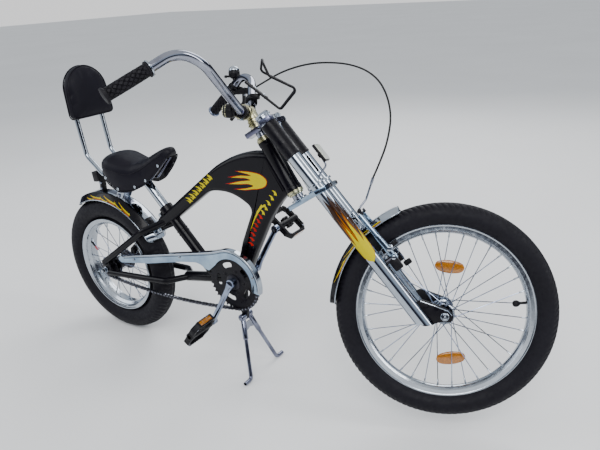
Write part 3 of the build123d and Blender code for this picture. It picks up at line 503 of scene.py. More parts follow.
def boxm(c, half, axes=None, bevel=1.0, seg=2):
    """rounded box; axes = three unit vectors"""
    ex = axes or (V(1, 0, 0), V(0, 1, 0), V(0, 0, 1))
    bm = bmesh.new()
    bmesh.ops.create_cube(bm, size=2.0)
    for q in bm.verts:
        q.co = Vector((q.co.x * half[0], q.co.y * half[1], q.co.z * half[2]))
    bmesh.ops.bevel(bm, geom=list(bm.edges), offset=bevel, segments=seg, profile=0.5, affect="EDGES", clamp_overlap=True)
    bm.verts.index_update()
    c = np.array(c, float)
    vs = [c + ex[0] * q.co.x + ex[1] * q.co.y + ex[2] * q.co.z for q in bm.verts]
    fs = [tuple(q.index for q in f.verts) for f in bm.faces]
    bm.free()
    return vs, fs


def refine(node, mat, bevel=0.8, seg=2, name=None, angle=35):
    """the CAD shape with its edges rounded, standing for the plain node"""
    src = NODES[node]
    me = src.data.copy()
    o = bpy.data.objects.new(name or node + "_fine", me)
    bpy.context.scene.collection.objects.link(o)
    bm = bmesh.new()
    bm.from_mesh(me)
    bmesh.ops.remove_doubles(bm, verts=bm.verts, dist=2e-6)
    bmesh.ops.dissolve_limit(bm, angle_limit=math.radians(1.0), verts=bm.verts, edges=bm.edges)
    bmesh.ops.recalc_face_normals(bm, faces=bm.faces)
    bm.to_mesh(me)
    bm.free()
    me.materials.clear()
    me.materials.append(mat)
    if bevel:
        md = o.modifiers.new("b", "BEVEL")
        md.width = bevel / 1000
        md.segments = seg
        md.limit_method = "ANGLE"
        md.angle_limit = math.radians(angle)
        md.use_clamp_overlap = True
        dg = bpy.context.evaluated_depsgraph_get()
        new = bpy.data.meshes.new_from_object(o.evaluated_get(dg))
        o.modifiers.clear()
        o.data = new
    me = o.data
    me.polygons.foreach_set("use_smooth", [True] * len(me.polygons))
    me.set_sharp_from_angle(angle=math.radians(32))
    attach(o, src["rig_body"])
    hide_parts(node)
    return o


# ------------------------------------------------------------------ brake cable
CABLE = [(527.706, 247.756, 825.422), (565.706, 234.756, 845.422), (606, 226, 866), (654, 220, 882), (703, 210, 890),
         (751, 197, 890), (798, 180, 884), (843, 158, 868), (880, 136, 840), (904, 112, 798), (916, 90, 752),
         (914, 70, 704), (904, 52, 656), (884, 41, 602)]
cu = bpy.data.curves.new("brake_cable_line", "CURVE")
cu.dimensions = "3D"
sp = cu.splines.new("NURBS")
sp.points.add(len(CABLE) - 1)
for k, q in enumerate(CABLE):
    w = row(q, True)
    sp.points[k].co = (w.x, w.y, w.z, 1)
sp.order_u = 3
sp.use_endpoint_u = True
sp.resolution_u = 10
cu.bevel_depth = 0.0025
cu.bevel_resolution = 4
cu.use_fill_caps = True
cu.materials.append(m_cable)
cable = bpy.data.objects.new("brake_cable_line", cu)
bpy.context.scene.collection.objects.link(cable)
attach(cable, "steering")
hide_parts("brake_cable")


# ------------------------------------------------------------------ wheels
def wheel(pre, hub, steered, body, rc, tr, edge, half, flange_r, flange_y, count, cross, barrel, hub_half, tread_n,
          groove, groove_deg, m_hub):
    hx, hz = hub
    O = V(hx, 0, hz)
    per = count // 2
    # tyre with its tread cut in
    phi_max = math.degrees(math.acos((edge + 0.6 - rc) / tr))
    cols = tread_n * 6
    rows_ = []
    n_in = 34
    for k in range(n_in + 1):
        rows_.append(-phi_max + 2 * phi_max * k / n_in)
    vs, fs = [], []
    m = len(rows_) + 2
    for i in range(cols):
        th = 2 * math.pi * i / cols
        u = V(math.cos(th), 0, math.sin(th))
        for ph in rows_:
            a = abs(ph)
            r = tr
            if a < groove_deg + 3:
                # slanting blocks either side of a ribbed crown
                lane = ph / groove_deg
                q = (i / 6.0 + (0.9 * abs(lane) if pre == "front" else 0.55 * lane) + (0.5 if ph > 0 else 0)) % 1.0
                cut = 1.0 if q < 0.30 else 0.0
                if a < 7:
                    cut = 0.0
                if 9 < a < 15:
                    cut = 1.0
                edge_fade = 1.0 if a < groove_deg else max(0.0, 1 - (a - groove_deg) / 3)
                r -= groove * cut * edge_fade
            else:
                # moulded rings on the sidewall
                for ring, wd in ((groove_deg + 14, 2.2), (phi_max - 26, 1.6), (phi_max - 12, 2.0)):
                    r -= 0.5 * math.exp(-((a - ring) / wd) ** 2)
            R = rc + r * math.cos(math.radians(ph))
            vs.append(O + u * R + V(0, r * math.sin(math.radians(ph)), 0))
        # bead tucked inside the rim
        vs.append(O + u * (edge - 5) + V(0, half - 3.2, 0))
        vs.append(O + u * (edge - 5) + V(0, -(half - 3.2), 0))
    for i in range(cols):
        j = (i + 1) % cols
        for k in range(m):
            k2 = (k + 1) % m
            fs.append((i * m + k, j * m + k, j * m + k2, i * m + k2))
    add(pre + "_tyre_rubber", vs, fs, body, m_tyre, steered, 38, pre + "_tyre")
    # rim with rolled edge and stepped inner face
    bed = edge - 9.0
    e, h = edge, half
    inner = bed - 12
    if pre == "front":
        prof = [(e - 0.6, -h + 1.9), (e, -h + 1.2), (e - 0.4, -h + 0.2), (e - 1.6, -h), (e - 3.2, -h + 0.5), (e - 4.2, -h + 1.1),
                (bed + 1, -h + 1.0), (bed - 4.2, -h + 0.4), (bed - 5.4, -h + 1.4), (bed - 7, -h * 0.74), (bed - 9.4, -h * 0.6),
                (inner + 1.2, -h * 0.42), (inner, -h * 0.25)]
    else:
        prof = [(e - 0.6, -h + 2.0), (e, -h + 1.2), (e - 0.5, -h + 0.2), (e - 1.8, -h), (e - 4.0, -h + 0.6), (e - 5.2, -h + 1.6),
                (bed + 1, -h + 2.2), (bed - 2.0, -h + 3.4), (bed - 4.2, -h + 5.0), (bed - 4.6, -h * 0.62), (bed - 6.8, -h * 0.55),
                (inner + 2.4, -h * 0.42), (inner + 0.6, -h * 0.36), (inner, -h * 0.2)]
    prof = prof + [(r, -y) for r, y in reversed(prof)] + [(e - 2.0, h - 2.4), (bed, h - 3.0), (bed, -h + 3.0), (e - 2.0, -h + 2.4)]
    vs, fs = lathe(prof, O, V(0, 1, 0), 144, closed=True)
    add(pre + "_rim_alloy", vs, fs, body, m_alu, steered, 28, pre + "_rim")
    # spokes with bent heads, and nipples
    G = Geo()
    for side, start in ((-1, 0.0), (1, 0.5)):
        for i in range(per):
            lead = 1 if i % 2 == 0 else -1
            ar = 2 * math.pi * (i + start) / per
            ah = ar + lead * cross * 2 * math.pi / per
            yf = side * (flange_y + lead * 2.9)
            p0 = O + V((flange_r - 5) * math.cos(ah), yf, (flange_r - 5) * math.sin(ah))
            p1 = O + V((inner + 1.0) * math.cos(ar), side * half * 0.2, (inner + 1.0) * math.sin(ar))
            d = (p1 - p0) / np.linalg.norm(p1 - p0)
            G.put(*sweep([p0 - V(0, side * lead * 5.2, 0), p0 - V(0, side * lead * 1.6, 0), p0 + d * 1.6, p0 + d * 12, p1], 1.05, 8))
            G.put(*sweep([p1 - d * 13, p1 - d * 12.2, p1 - d * 2, p1 + d * 1.5], [1.5, 2.05, 2.05, 2.6], 8), 1)
            hd = p0 - V(0, side * lead * 5.2, 0)
            G.put(*sweep([hd - V(0, side * lead * 1.2, 0), hd + V(0, side * lead * 0.6, 0)], [1.3, 2.2], 8), 0)
    G.out(pre + "_spokes_wire", body, [m_crank, m_alu], steered, 40, pre + "_spokes", "spoke_steel")
    # hub: turned barrel with plain flanges, cones and locknuts
    fy, fr = flange_y, flange_r
    pr = [(4.9, -hub_half[0]), (9.6, -hub_half[0]), (10, -hub_half[0] + 0.5), (10, -fy - 6), (12.5, -fy - 4.5), (14, -fy - 1.9), (fr - 0.8, -fy - 1.9),
          (fr, -fy - 1.1), (fr, -fy + 1.1), (fr - 0.8, -fy + 1.9), (barrel + 5, -fy + 1.9), (barrel + 1.6, -fy + 4.2),
          (barrel, -fy + 9), (barrel - 1.0, 0), (barrel, fy - 9), (barrel + 1.6, fy - 4.2), (barrel + 5, fy - 1.9), (fr - 0.8, fy - 1.9), (fr, fy - 1.1),
          (fr, fy + 1.1), (fr - 0.8, fy + 1.9), (14, fy + 1.9), (12.5, fy + 4.5), (10, fy + 6), (10, hub_half[1] - 0.5), (9.6, hub_half[1]),
          (4.9, hub_half[1])]
    G = Geo().put(*lathe(pr, O, V(0, 1, 0), 56, closed=True))
    G.out(pre + "_hub_shell", body, m_hub, steered, 35, pre + "_hub", "chrome")


wheel("front", FHUB, True, "front_wheel", 230.0, 27.0, 207.0, 14.5, 24.0, 33.0, 36, 2.5, 12.0, (44, 44), 116, 1.7, 52, m_chrome)
wheel("rear", RHUB, False, "rear_wheel", 190.0, 34.4, 156.0, 27.0, 33.0, 27.0, 28, 1.5, 20.0, (50, 44), 84, 2.0, 54, m_dark)


def polar(hub, r, a, y=0.0):
    a = math.radians(a)
    return V(hub[0] + r * math.cos(a), y, hub[1] + r * math.sin(a))


# valves, spoke reflectors and a small clip on a spoke
G = Geo()
d = polar((0, 0), 1, 11)
G.put(*rodm(polar(FHUB, 187, 11), polar(FHUB, 172, 11), 3.2, 16, 0.5))
G.put(*lathe([(0.001, 0), (3.6, 0), (4.0, 1.2), (5.6, 3.0), (7.4, 6.0), (8.0, 9.5), (7.4, 13.0), (5.6, 15.8), (3.0, 17.2), (0.001, 17.6)], polar(FHUB, 173, 11), -V(d[0], 0, d[2]), 28))
G.out("front_valve", "front_wheel", m_plast, True, 40, None, "black_plastic")
G = Geo()
d = polar((0, 0), 1, 161)
G.put(*rodm(polar(RHUB, 136, 161, -2), polar(RHUB, 112, 161, -8), 3.0, 16, 0.5), 0)
G.put(*lathe([(0.001, 0), (3.6, 0), (4.4, 1.2), (4.6, 12), (4.0, 17), (2.2, 18.5), (0.001, 18.5)], polar(RHUB, 113, 161, -8),
              -V(d[0], 0.2, d[2]), 20), 1)
G.out("rear_valve", "rear_wheel", [m_plast, m_redcap], False, 40, None, "black_plastic")


def oval_reflector(name, hub, ang, rad, body, steered, y):
    """amber spoke reflector: domed oval lens on a thin back"""
    c = polar(hub, rad, ang, y)
    er = V(math.cos(math.radians(ang)), 0, math.sin(math.radians(ang)))
    et = V(-er[2], 0, er[0])
    G = Geo()
    for sgn, mid in ((-1, 0), (1, 0)):
        vs, fs = [], []
        rings, seg = 9, 40
        for i in range(rings):
            f = i / (rings - 1)
            s = math.sin(f * math.pi / 2)
            hgt = 3.4 * math.cos(f * math.pi / 2) ** 0.7
            for k in range(seg):
                a = 2 * math.pi * k / seg
                sup = 2.5
                ca, sa = math.cos(a), math.sin(a)
                px = 33.5 * s * abs(ca) ** (2 / sup) * (1 if ca > 0 else -1)
                pz = 15.0 * s * abs(sa) ** (2 / sup) * (1 if sa > 0 else -1)
                vs.append(c + et * px + er * pz + V(0, sgn * (hgt + 0.8), 0))
        for i in range(rings - 1):
            for k in range(seg):
                k2 = (k + 1) % seg
                fs.append((i * seg + k, i * seg + k2, (i + 1) * seg + k2, (i + 1) * seg + k))
        G.put(vs, fs, mid)
    rim = [(34.2 * math.cos(2 * math.pi * k / 40), 15.6 * math.sin(2 * math.pi * k / 40)) for k in range(40)]
    G.put(*prism(rim, -1.2, 1.2, lambda a, b, h: c + et * a + er * b + V(0, h, 0), 0.4, 1), 0)
    return G.out(name, body, [m_amber, m_plast], steered, 40, None, "black_plastic")


oval_reflector("front_spoke_reflector_a", FHUB, 87, 106, "front_wheel", True, 0)
oval_reflector("front_spoke_reflector_b", FHUB, 282, 118, "front_wheel", True, 0)
G = Geo()
c = polar(FHUB, 142, 130, 4)
G.put(*boxm(c, (9.5, 5.0, 6.5), (V(0.77, 0, 0.64), V(0, 1, 0), V(-0.64, 0, 0.77)), 3.2, 3))
G.out("spoke_clip", "front_wheel", m_plast, True, 60, None, "black_plastic")

# ------------------------------------------------------------------ axles with nuts and washers
for pre, hub, steered, body, y0, y1, end in (("rear", RHUB, False, "frame", 63.2, 72.0, 79.0), ("front", FHUB, True, "steering", 56.6, 65.0, 70.0)):
    G = Geo()
    O = V(hub[0], 0, hub[1])
    G.put(*rodm(O - V(0, end, 0), O + V(0, end, 0), 4.7, 20, 0.8), 0)
    for sy in (-1, 1):
        G.put(*lathe([(4.8, 0), (9.2, 0), (9.6, 0.4), (9.6, 1.5), (9.2, 1.9), (4.8, 1.9)], O + V(0, sy * y0, 0), V(0, sy, 0), 36, True), 0)
        G.put(*hexnut(O + V(0, sy * (y0 + 1.9), 0), O + V(0, sy * y1, 0), 14.6, 0.9), 0)
        G.put(*lathe([(4.6, 0), (6.6, 0), (6.2, 1.4), (4.6, 1.8)], O + V(0, sy * y1, 0), V(0, sy, 0), 28, True), 1)
    G.out(pre + "_axle_set", body, [m_chrome, m_dark], steered, 35, pre + "_axle", "chrome")

# ------------------------------------------------------------------ main frame: one pressed body with rounded edges
def arc3(a, b, c, n):
    """points along the arc a-b-c, without a"""
    ax_, ay_, bx, by, cx, cy = *a, *b, *c
    d = 2 * (ax_ * (by - cy) + bx * (cy - ay_) + cx * (ay_ - by))
    ux = ((ax_ ** 2 + ay_ ** 2) * (by - cy) + (bx ** 2 + by ** 2) * (cy - ay_) + (cx ** 2 + cy ** 2) * (ay_ - by)) / d
    uy = ((ax_ ** 2 + ay_ ** 2) * (cx - bx) + (bx ** 2 + by ** 2) * (ax_ - cx) + (cx ** 2 + cy ** 2) * (bx - ax_)) / d
    r = math.hypot(ax_ - ux, ay_ - uy)
    t0, t1, t2 = (math.atan2(q[1] - uy, q[0] - ux) for q in (a, b, c))
    ccw = (t1 - t0) % (2 * math.pi) < (t2 - t0) % (2 * math.pi)
    tot = (t2 - t0) % (2 * math.pi) if ccw else -((t0 - t2) % (2 * math.pi))
    return [(ux + r * math.cos(t0 + tot * k / n), uy + r * math.sin(t0 + tot * k / n)) for k in range(1, n + 1)]


def outline(start, *moves):
    """moves: (x, z) straight, or (x, z, x, z) an arc through the first to the second"""
    pts = [start]
    for m in moves:
        if len(m) == 2:
            pts.append(m)
        else:
            pts += arc3(pts[-1], m[:2], m[2:], 16)
    if math.dist(pts[0], pts[-1]) < 1e-6:
        pts.pop()
    return pts


def resample(pts, step, smooth=0, closed=True):
    P = [np.array(p, float) for p in pts]
    if closed:
        P.append(P[0])
    L = [0]
    for a, b in zip(P, P[1:]):
        L.append(L[-1] + np.linalg.norm(b - a))
    n = max(4, int(L[-1] / step))
    out = []
    for k in range(n if closed else n + 1):
        s = L[-1] * k / n
        i = min(len(L) - 2, int(np.searchsorted(L, s, side="right")) - 1)
        f = (s - L[i]) / max(1e-9, L[i + 1] - L[i])
        out.append(P[i] * (1 - f) + P[i + 1] * f)
    Q = np.array(out)
    for _ in range(smooth):
        if closed:
            Q = 0.5 * Q + 0.25 * (np.roll(Q, 1, 0) + np.roll(Q, -1, 0))
        else:
            Q[1:-1] = 0.5 * Q[1:-1] + 0.25 * (Q[:-2] + Q[2:])
    return Q


def slab(pts, half, R, n=7):
    """plate with strongly rounded edges from a smooth closed outline in XZ"""
    P = np.array(pts)
    area2 = np.sum(P[:, 0] * np.roll(P[:, 1], -1) - np.roll(P[:, 0], -1) * P[:, 1])
    if area2 < 0:
        P = P[::-1]
    T = np.roll(P, -1, 0) - np.roll(P, 1, 0)
    T /= np.linalg.norm(T, axis=1)[:, None]
    N = np.stack([-T[:, 1], T[:, 0]], 1)
    rings = []
    for k in range(n + 1):
        ph = math.pi / 2 * k / n
        rings.append((half - R + R * math.sin(ph), R * (1 - math.cos(ph))))
    rings.append((half, R + 1.5))
    full = [(-y, d) for y, d in reversed(rings)] + rings
    vs, fs = [], []
    m = len(P)
    for y, d in full:
        Q = P + N * d
        vs += [(q[0], y, q[1]) for q in Q]
    for i in range(len(full) - 1):
        for k in range(m):
            k2 = (k + 1) % m
            fs.append((i * m + k, i * m + k2, (i + 1) * m + k2, (i + 1) * m + k))
    fs.append(tuple(reversed(range(m))))
    fs.append(tuple((len(full) - 1) * m + k for k in range(m)))
    return vs, fs


BODY = outline((637, 654), (592, 652), (541, 640, 491, 618), (463, 602, 437, 583), (222, 419), (214, 399, 235, 389),
               (288, 423), (415, 517), (436, 528, 467, 533), (515, 530, 556, 512), (569, 500, 566, 484), (529, 401),
               (497, 300), (527, 281), (572, 374), (609, 446), (638, 496, 675, 543), (695.9, 562.7), (637, 654))
body_pts = resample(BODY, 4.0, 5)
vs, fs = slab(body_pts, 19.0, 13.0, 7)
frame_obj = add("main_body", vs, fs, "frame", m_black, False, 30, "main_frame")

# head tube, cups, bottom bracket
G = Geo()
HT0, HT1 = 424.0, 562.0
G.put(*lathe([(16.5, 0), (20.8, 0), (21.2, 0.6), (21.2, 9), (20.6, 10.5), (20, 12), (20, 126), (20.6, 127.5), (21.2, 129), (21.2, 137.4),
              (20.8, 138), (16.5, 138)], S(0, 0, HT0), AX, 72, True))
G.out("head_tube_fine", "frame", m_black, False, 30, "head_tube", "frame_paint")
G = Geo()
cup = [(14.1, 0), (17.5, 0), (18.6, 0.8), (18.8, 3.4), (20.6, 4.2), (21.3, 5.0), (21.3, 8.6), (20.6, 9.6), (21.3, 10.2), (21.3, 11.5),
       (20.8, 12.0), (14.1, 12)]
G.put(*lathe(cup, S(0, 0, HT0 - 12), AX, 64, True))
G.put(*lathe([(r, 12 - h) for r, h in reversed(cup)], S(0, 0, HT1), AX, 64, True))
G.out("headset_rings", "frame", m_brass, False, 30, "headset_cups", "brassy_steel")
BB = V(514, 0, 293)
G = Geo()
G.put(*lathe([(9.1, -34), (19.5, -34), (20.5, -33.4), (20.5, -31), (22, -30), (22.2, -29), (22.2, 29), (22, 30), (20.5, 31), (20.5, 33.4),
              (19.5, 34), (9.1, 34)], BB, V(0, 1, 0), 56, True), 0)
G.put(*lathe([(10, -34.3), (16.5, -34.3), (17, -33.8), (17, -33), (10, -33)], BB, V(0, 1, 0), 6, True), 1)
G.put(*lathe([(10, 33), (17, 33), (17, 33.8), (16.5, 34.3), (10, 34.3)], BB, V(0, 1, 0), 6, True), 1)
G.out("bracket_shell", "frame", [m_black, m_dark], False, 30, "bottom_bracket", "frame_paint")

# rear triangle
G = Geo()
CA, CB = V(514, 0, 285), V(293, 0, 241.4)
G.put(*rodm(CA, CB, 15.0, 40, 4.0))
for sy in (-1, 1):
    path = arc_path([(14, sy * 60.5, 217), (170, sy * 54, 229), (252, sy * 49, 235.4), (309, sy * 3, 244.9)], [120, 26])
    G.put(*sweep(path, [9.5] * len(path), 28))
    pts = resample([(-17, 232), (-13, 250), (2, 262), (14, 256), (24, 232), (26, 214), (10, 208), (-8, 214)], 2.5, 4)
    y0 = sy * 58 - 3.0
    G.put(*prism([tuple(q) for q in pts], y0, y0 + 6.0, lambda a, b, h: (a, h, b), 1.0, 2))
    for b_, a_ in ((226, 246),):
        G.put(*rodm((8, sy * 61, 252), (8, sy * 64.5, 252), 4.6, 20, 0.8))
G.out("rear_arms", "frame", m_black, False, 35, "chainstays", "frame_paint")

SA, SB = V(240, 0, 455), V(352, 0, 334)
SD = (SB - SA) / np.linalg.norm(SB - SA)
G = Geo()
G.put(*lathe([(12.8, 12), (15.6, 12), (16, 12.6), (16, 85), (17.4, 85.6), (17.4, 88.4), (16, 89), (16, 95), (17.4, 95.6), (17.4, 98.4), (16, 99),
              (16, 262), (12.8, 262)], SA, SD, 48, True))
G.out("seat_tube_fine", "frame", m_black, False, 30, "seat_tube", "frame_paint")
G = Geo()
for sy in (-1, 1):
    path = arc_path([(1, sy * 62, 251), (190, sy * 54, 384), (246, sy * 10.5, 411)], [30])
    G.put(*sweep(path, 10.0, 28))
G.out("seat_stays", "frame", m_black, False, 35, "seatstays", "frame_paint")
G = Geo()
G.put(*lathe([(16.1, 3), (19.2, 3), (20, 3.8), (20, 21), (19.2, 22), (16.1, 22)], SA, SD, 48, True), 0)
lug = SA + SD * 12.5
side = np.cross(SD, V(0, 1, 0))
if side[0] > 0:
    side = -side
G.put(*boxm(lug + side * 25, (7.5, 8.5, 7.5), (side, V(0, 1, 0), SD), 1.8), 0)
G.put(*rodm(lug + side * 27 + V(0, -14, 0), lug + side * 27 + V(0, 15, 0), 3.0, 16), 1)
G.put(*hexnut(lug + side * 27 + V(0, -14.5, 0), lug + side * 27 + V(0, -9, 0), 10, 0.7), 1)
G.put(*hexnut(lug + side * 27 + V(0, 9, 0), lug + side * 27 + V(0, 15, 0), 10, 0.7), 1)
G.out("seat_collar", "frame", [m_black, m_chrome], False, 35, "seat_clamp", "frame_paint")
POST_TOP = SA - SD * 108
G = Geo()
G.put(*lathe([(0.01, 0), (11.7, 0), (12.7, 1), (12.7, 166), (12, 168), (0.01, 168)], POST_TOP, SD, 48), 0)
G.out("post_tube", "frame", m_chrome, False, 30, "seat_post", "chrome")

# ------------------------------------------------------------------ decals laid on the painted surfaces
from mathutils.bvhtree import BVHTree
from mathutils.geometry import tessellate_polygon


def fine_tris(poly, edge):
    """triangles of a 2-D outline, split until no edge is longer than the given length"""
    tri = tessellate_polygon([[Vector((a, b, 0)) for a, b in poly]])
    bm = bmesh.new()
    vs_ = [bm.verts.new((a, b, 0)) for a, b in poly]
    for t_ in tri:
        try:
            bm.faces.new([vs_[i] for i in t_])
        except ValueError:
            pass
    for _ in range(7):
        long_ = [e for e in bm.edges if e.calc_length() > edge]
        if not long_:
            break
        bmesh.ops.subdivide_edges(bm, edges=long_, cuts=1)
        bmesh.ops.triangulate(bm, faces=list(bm.faces))
    bm.verts.index_update()
    v2 = [(q.co.x, q.co.y) for q in bm.verts]
    f2 = [tuple(q.index for q in f.verts) for f in bm.faces]
    bm.free()
    return v2, f2


def decal_side(name, poly, sy, mat, lift):
    """thin coloured film on the side of the main body, sy = -1 right, 1 left"""
    v2, f2 = fine_tris(poly, 5.0)
    inv = M_ROW.inverted()
    me = frame_obj.data
    bvh = BVHTree.FromPolygons([inv @ q.co for q in me.vertices], [tuple(p.vertices) for p in me.polygons])
    out = []
    for a, b in v2:
        hit = bvh.ray_cast(Vector((a, sy * 80.0, b)), Vector((0, -sy, 0)))
        if hit[0] is None:
            out.append((a, sy * (4.0 + lift), b))
        else:
            nrm = hit[1] if hit[1].y * sy > 0 else -hit[1]
            q = hit[0] + nrm * lift
            out.append((q.x, q.y, q.z))
    if sy > 0:
        f2 = [tuple(reversed(f)) for f in f2]
    return out, f2


def film(name, polys, sy, mats, body="frame"):
    G = Geo()
    for i, (poly, mid, lift) in enumerate(polys):
        G.put(*decal_side(name, poly, sy, None, lift), mid)
    me = bpy.data.meshes.new(name)
    me.from_pydata([tuple(map(float, q)) for q in G.v], [], G.f)
    me.transform(M_ROW)
    for m in mats:
        me.materials.append(m)
    me.polygons.foreach_set("material_index", np.array(G.m, np.int32))
    me.polygons.foreach_set("use_smooth", [True] * len(me.polygons))
    o = bpy.data.objects.new(name, me)
    bpy.context.scene.collection.objects.link(o)
    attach(o, body)
    return o


def tongue(root, ctrl, tip, w0, n=14, side=0.0):
    """one flame lick: a bent spine from root through ctrl to tip, narrowing to a point"""
    root, ctrl, tip = (np.array(q, float) for q in (root, ctrl, tip))
    L_, R_ = [], []
    for k in range(n + 1):
        u = k / n
        p = (1 - u) ** 2 * root + 2 * u * (1 - u) * ctrl + u * u * tip
        d = 2 * (1 - u) * (ctrl - root) + 2 * u * (tip - ctrl)
        d /= np.linalg.norm(d)
        nn = np.array([-d[1], d[0]])
        w_ = w0 * (1 - u) ** 0.85
        L_.append(tuple(p + nn * w_ * (1 + side)))
        if k < n:
            R_.append(tuple(p - nn * w_ * (1 - side)))
    return L_ + R_[::-1]


def blob(cx, cz, rx, rz, ang, n=26, pinch=0.0):
    """rounded head of the flame, drawn out to a blunt point at its front"""
    out = []
    ca, sa = math.cos(ang), math.sin(ang)
    for k in range(n):
        a = 2 * math.pi * k / n
        x = rx * math.cos(a) * (1 + pinch * max(0, math.cos(a)) ** 4)
        z = rz * math.sin(a) * (1 - 0.25 * pinch * max(0, math.cos(a)))
        out.append((cx + x * ca - z * sa, cz + x * sa + z * ca))
    return out


def curve_between(pts, k=7):
    """smooth curve through the points, straight-ended"""
    P = [np.array(q, float) for q in pts]
    P = [2 * P[0] - P[1]] + P + [2 * P[-1] - P[-2]]
    out = []
    for i in range(1, len(P) - 2):
        for j in range(k):
            t_ = j / k
            out.append(tuple(0.5 * (2 * P[i] + (P[i + 1] - P[i - 1]) * t_ + (2 * P[i - 1] - 5 * P[i] + 4 * P[i + 1] - P[i + 2]) * t_ ** 2
                                    + (3 * P[i] - P[i - 1] - 3 * P[i + 1] + P[i + 2]) * t_ ** 3)))
    return out


def flame_outline(reach, swell):
    """plain hot-rod flame: round head forward, four licks trailing back by the given reach"""
    t1, t2, t3, t4 = ((554 - reach * 0.8, 602), (534 - reach, 580), (528 - reach * 1.15, 560 - 0.1 * reach), (550 - reach, 545))
    w_ = swell
    runs = [
        [t1, (560, 604 + w_), (586, 605 + w_), (611, 602 + w_), (627 + w_, 592 + w_ * 0.6), (631 + w_, 581), (624 + w_ * 0.8, 568 - w_ * 0.6), (606, 559 - w_), (584, 554 - w_), (562, 548.5 - w_ * 0.8), t4],
        [t4, (564, 553 + w_ * 0.7), (583, 560 + w_ * 0.5), (588 - w_, 565.5), (570, 568.0 - w_ * 0.8), (545, 563.5 - w_ * 0.7), t3],
        [t3, (545, 571.5 + w_ * 0.7), (568, 577 + w_ * 0.5), (582 - w_, 581), (566, 585.0 - w_ * 0.8), (546, 583.0 - w_ * 0.7), t2],
        [t2, (548, 589.5 + w_ * 0.7), (570, 592 + w_ * 0.5), (584 - w_, 595.0), (570, 599.0 - w_ * 0.8), t1],
    ]
    out = []
    for r_ in runs:
        out += curve_between(r_)
    return [(p[0], 577.0 + (p[1] - 577.0) * 0.86) for p in out]


for sy in (-1, 1):
    polys = [(flame_outline(27.0, 1.7), 1, 0.10), (flame_outline(15.0, 0.0), 0, 0.22)]
    film("flame_decal_" + ("right" if sy < 0 else "left"), polys, sy, [m_yellow, m_red])
    # a row of small licks along the arm
    polys = []
    u = np.array([0.766, 0.643])
    nrm = np.array([-0.643, 0.766])
    base = np.array([352.0, 492.0])
    for k in range(7):
        o_ = base + u * (18.6 * k + 6) + nrm * (0.6 * k - 1.0)
        polys.append((tongue(tuple(o_ + u * 5.5 + nrm * -9.5), tuple(o_ + u * 9 + nrm * 2), tuple(o_ - u * 5.0 + nrm * 11.0), 5.2, 12), 0, 0.15))
        polys.append((tongue(tuple(o_ - u * 0.5 + nrm * -9.5), tuple(o_ + u * 0.5 + nrm * -3), tuple(o_ - u * 7.0 + nrm * 3.5), 2.8, 10), 0, 0.16))
    film("arm_licks_" + ("right" if sy < 0 else "left"), polys, sy, [m_yellow, m_red])
    polys = []
    line = [(561, 396), (564.5, 410), (569, 425), (574.5, 440), (581, 454), (588, 467), (596, 480), (604.5, 493), (614, 506), (624, 520), (635, 535), (646, 550), (656, 563)]
    for k in range(len(line) - 1):
        a_, b_ = np.array(line[k], float), np.array(line[k + 1], float)
        d_ = (b_ - a_) / np.linalg.norm(b_ - a_)
        n_ = np.array([-d_[1], d_[0]])
        mid = 1 if k < 7 else 0
        o_ = (a_ + b_) / 2
        polys.append((tongue(tuple(o_ - n_ * 7.0 - d_ * 2.0), tuple(o_ - n_ * 1 + d_ * 7.0), tuple(o_ + n_ * 8.0 + d_ * 1.0), 4.6, 12), mid, 0.15))
    # thin yellow lick running beside the row
    polys.append((tongue((612, 518), (588, 492), (566, 440), 3.6, 22), 0, 0.20))
    polys.append((tongue((622, 520), (602, 512), (590, 494), 3.0, 12), 0, 0.21))
    film("down_tube_licks_" + ("right" if sy < 0 else "left"), polys, sy, [m_yellow, m_red])


# ------------------------------------------------------------------ mudguards
def guard_drop(q, crown):
    """how far the sheet lies under its crown line at the share q of the half width"""
    return -crown * max(0.0, (abs(q) - 0.44) / 0.56) ** 1.12 - 0.5 * q * q


def guard_section(half, crown, t, n=16):
    """outer arch then inner arch, with a rolled bead along each edge; (dr, y) closed"""
    outer, inner = [], []
    for k in range(2 * n + 1):
        q = -1 + k / n
        outer.append((guard_drop(q, crown), half * q * 0.985))
    for dr, y in reversed(outer):
        inner.append((dr - t, y * (1 - t / half)))
    return outer, inner


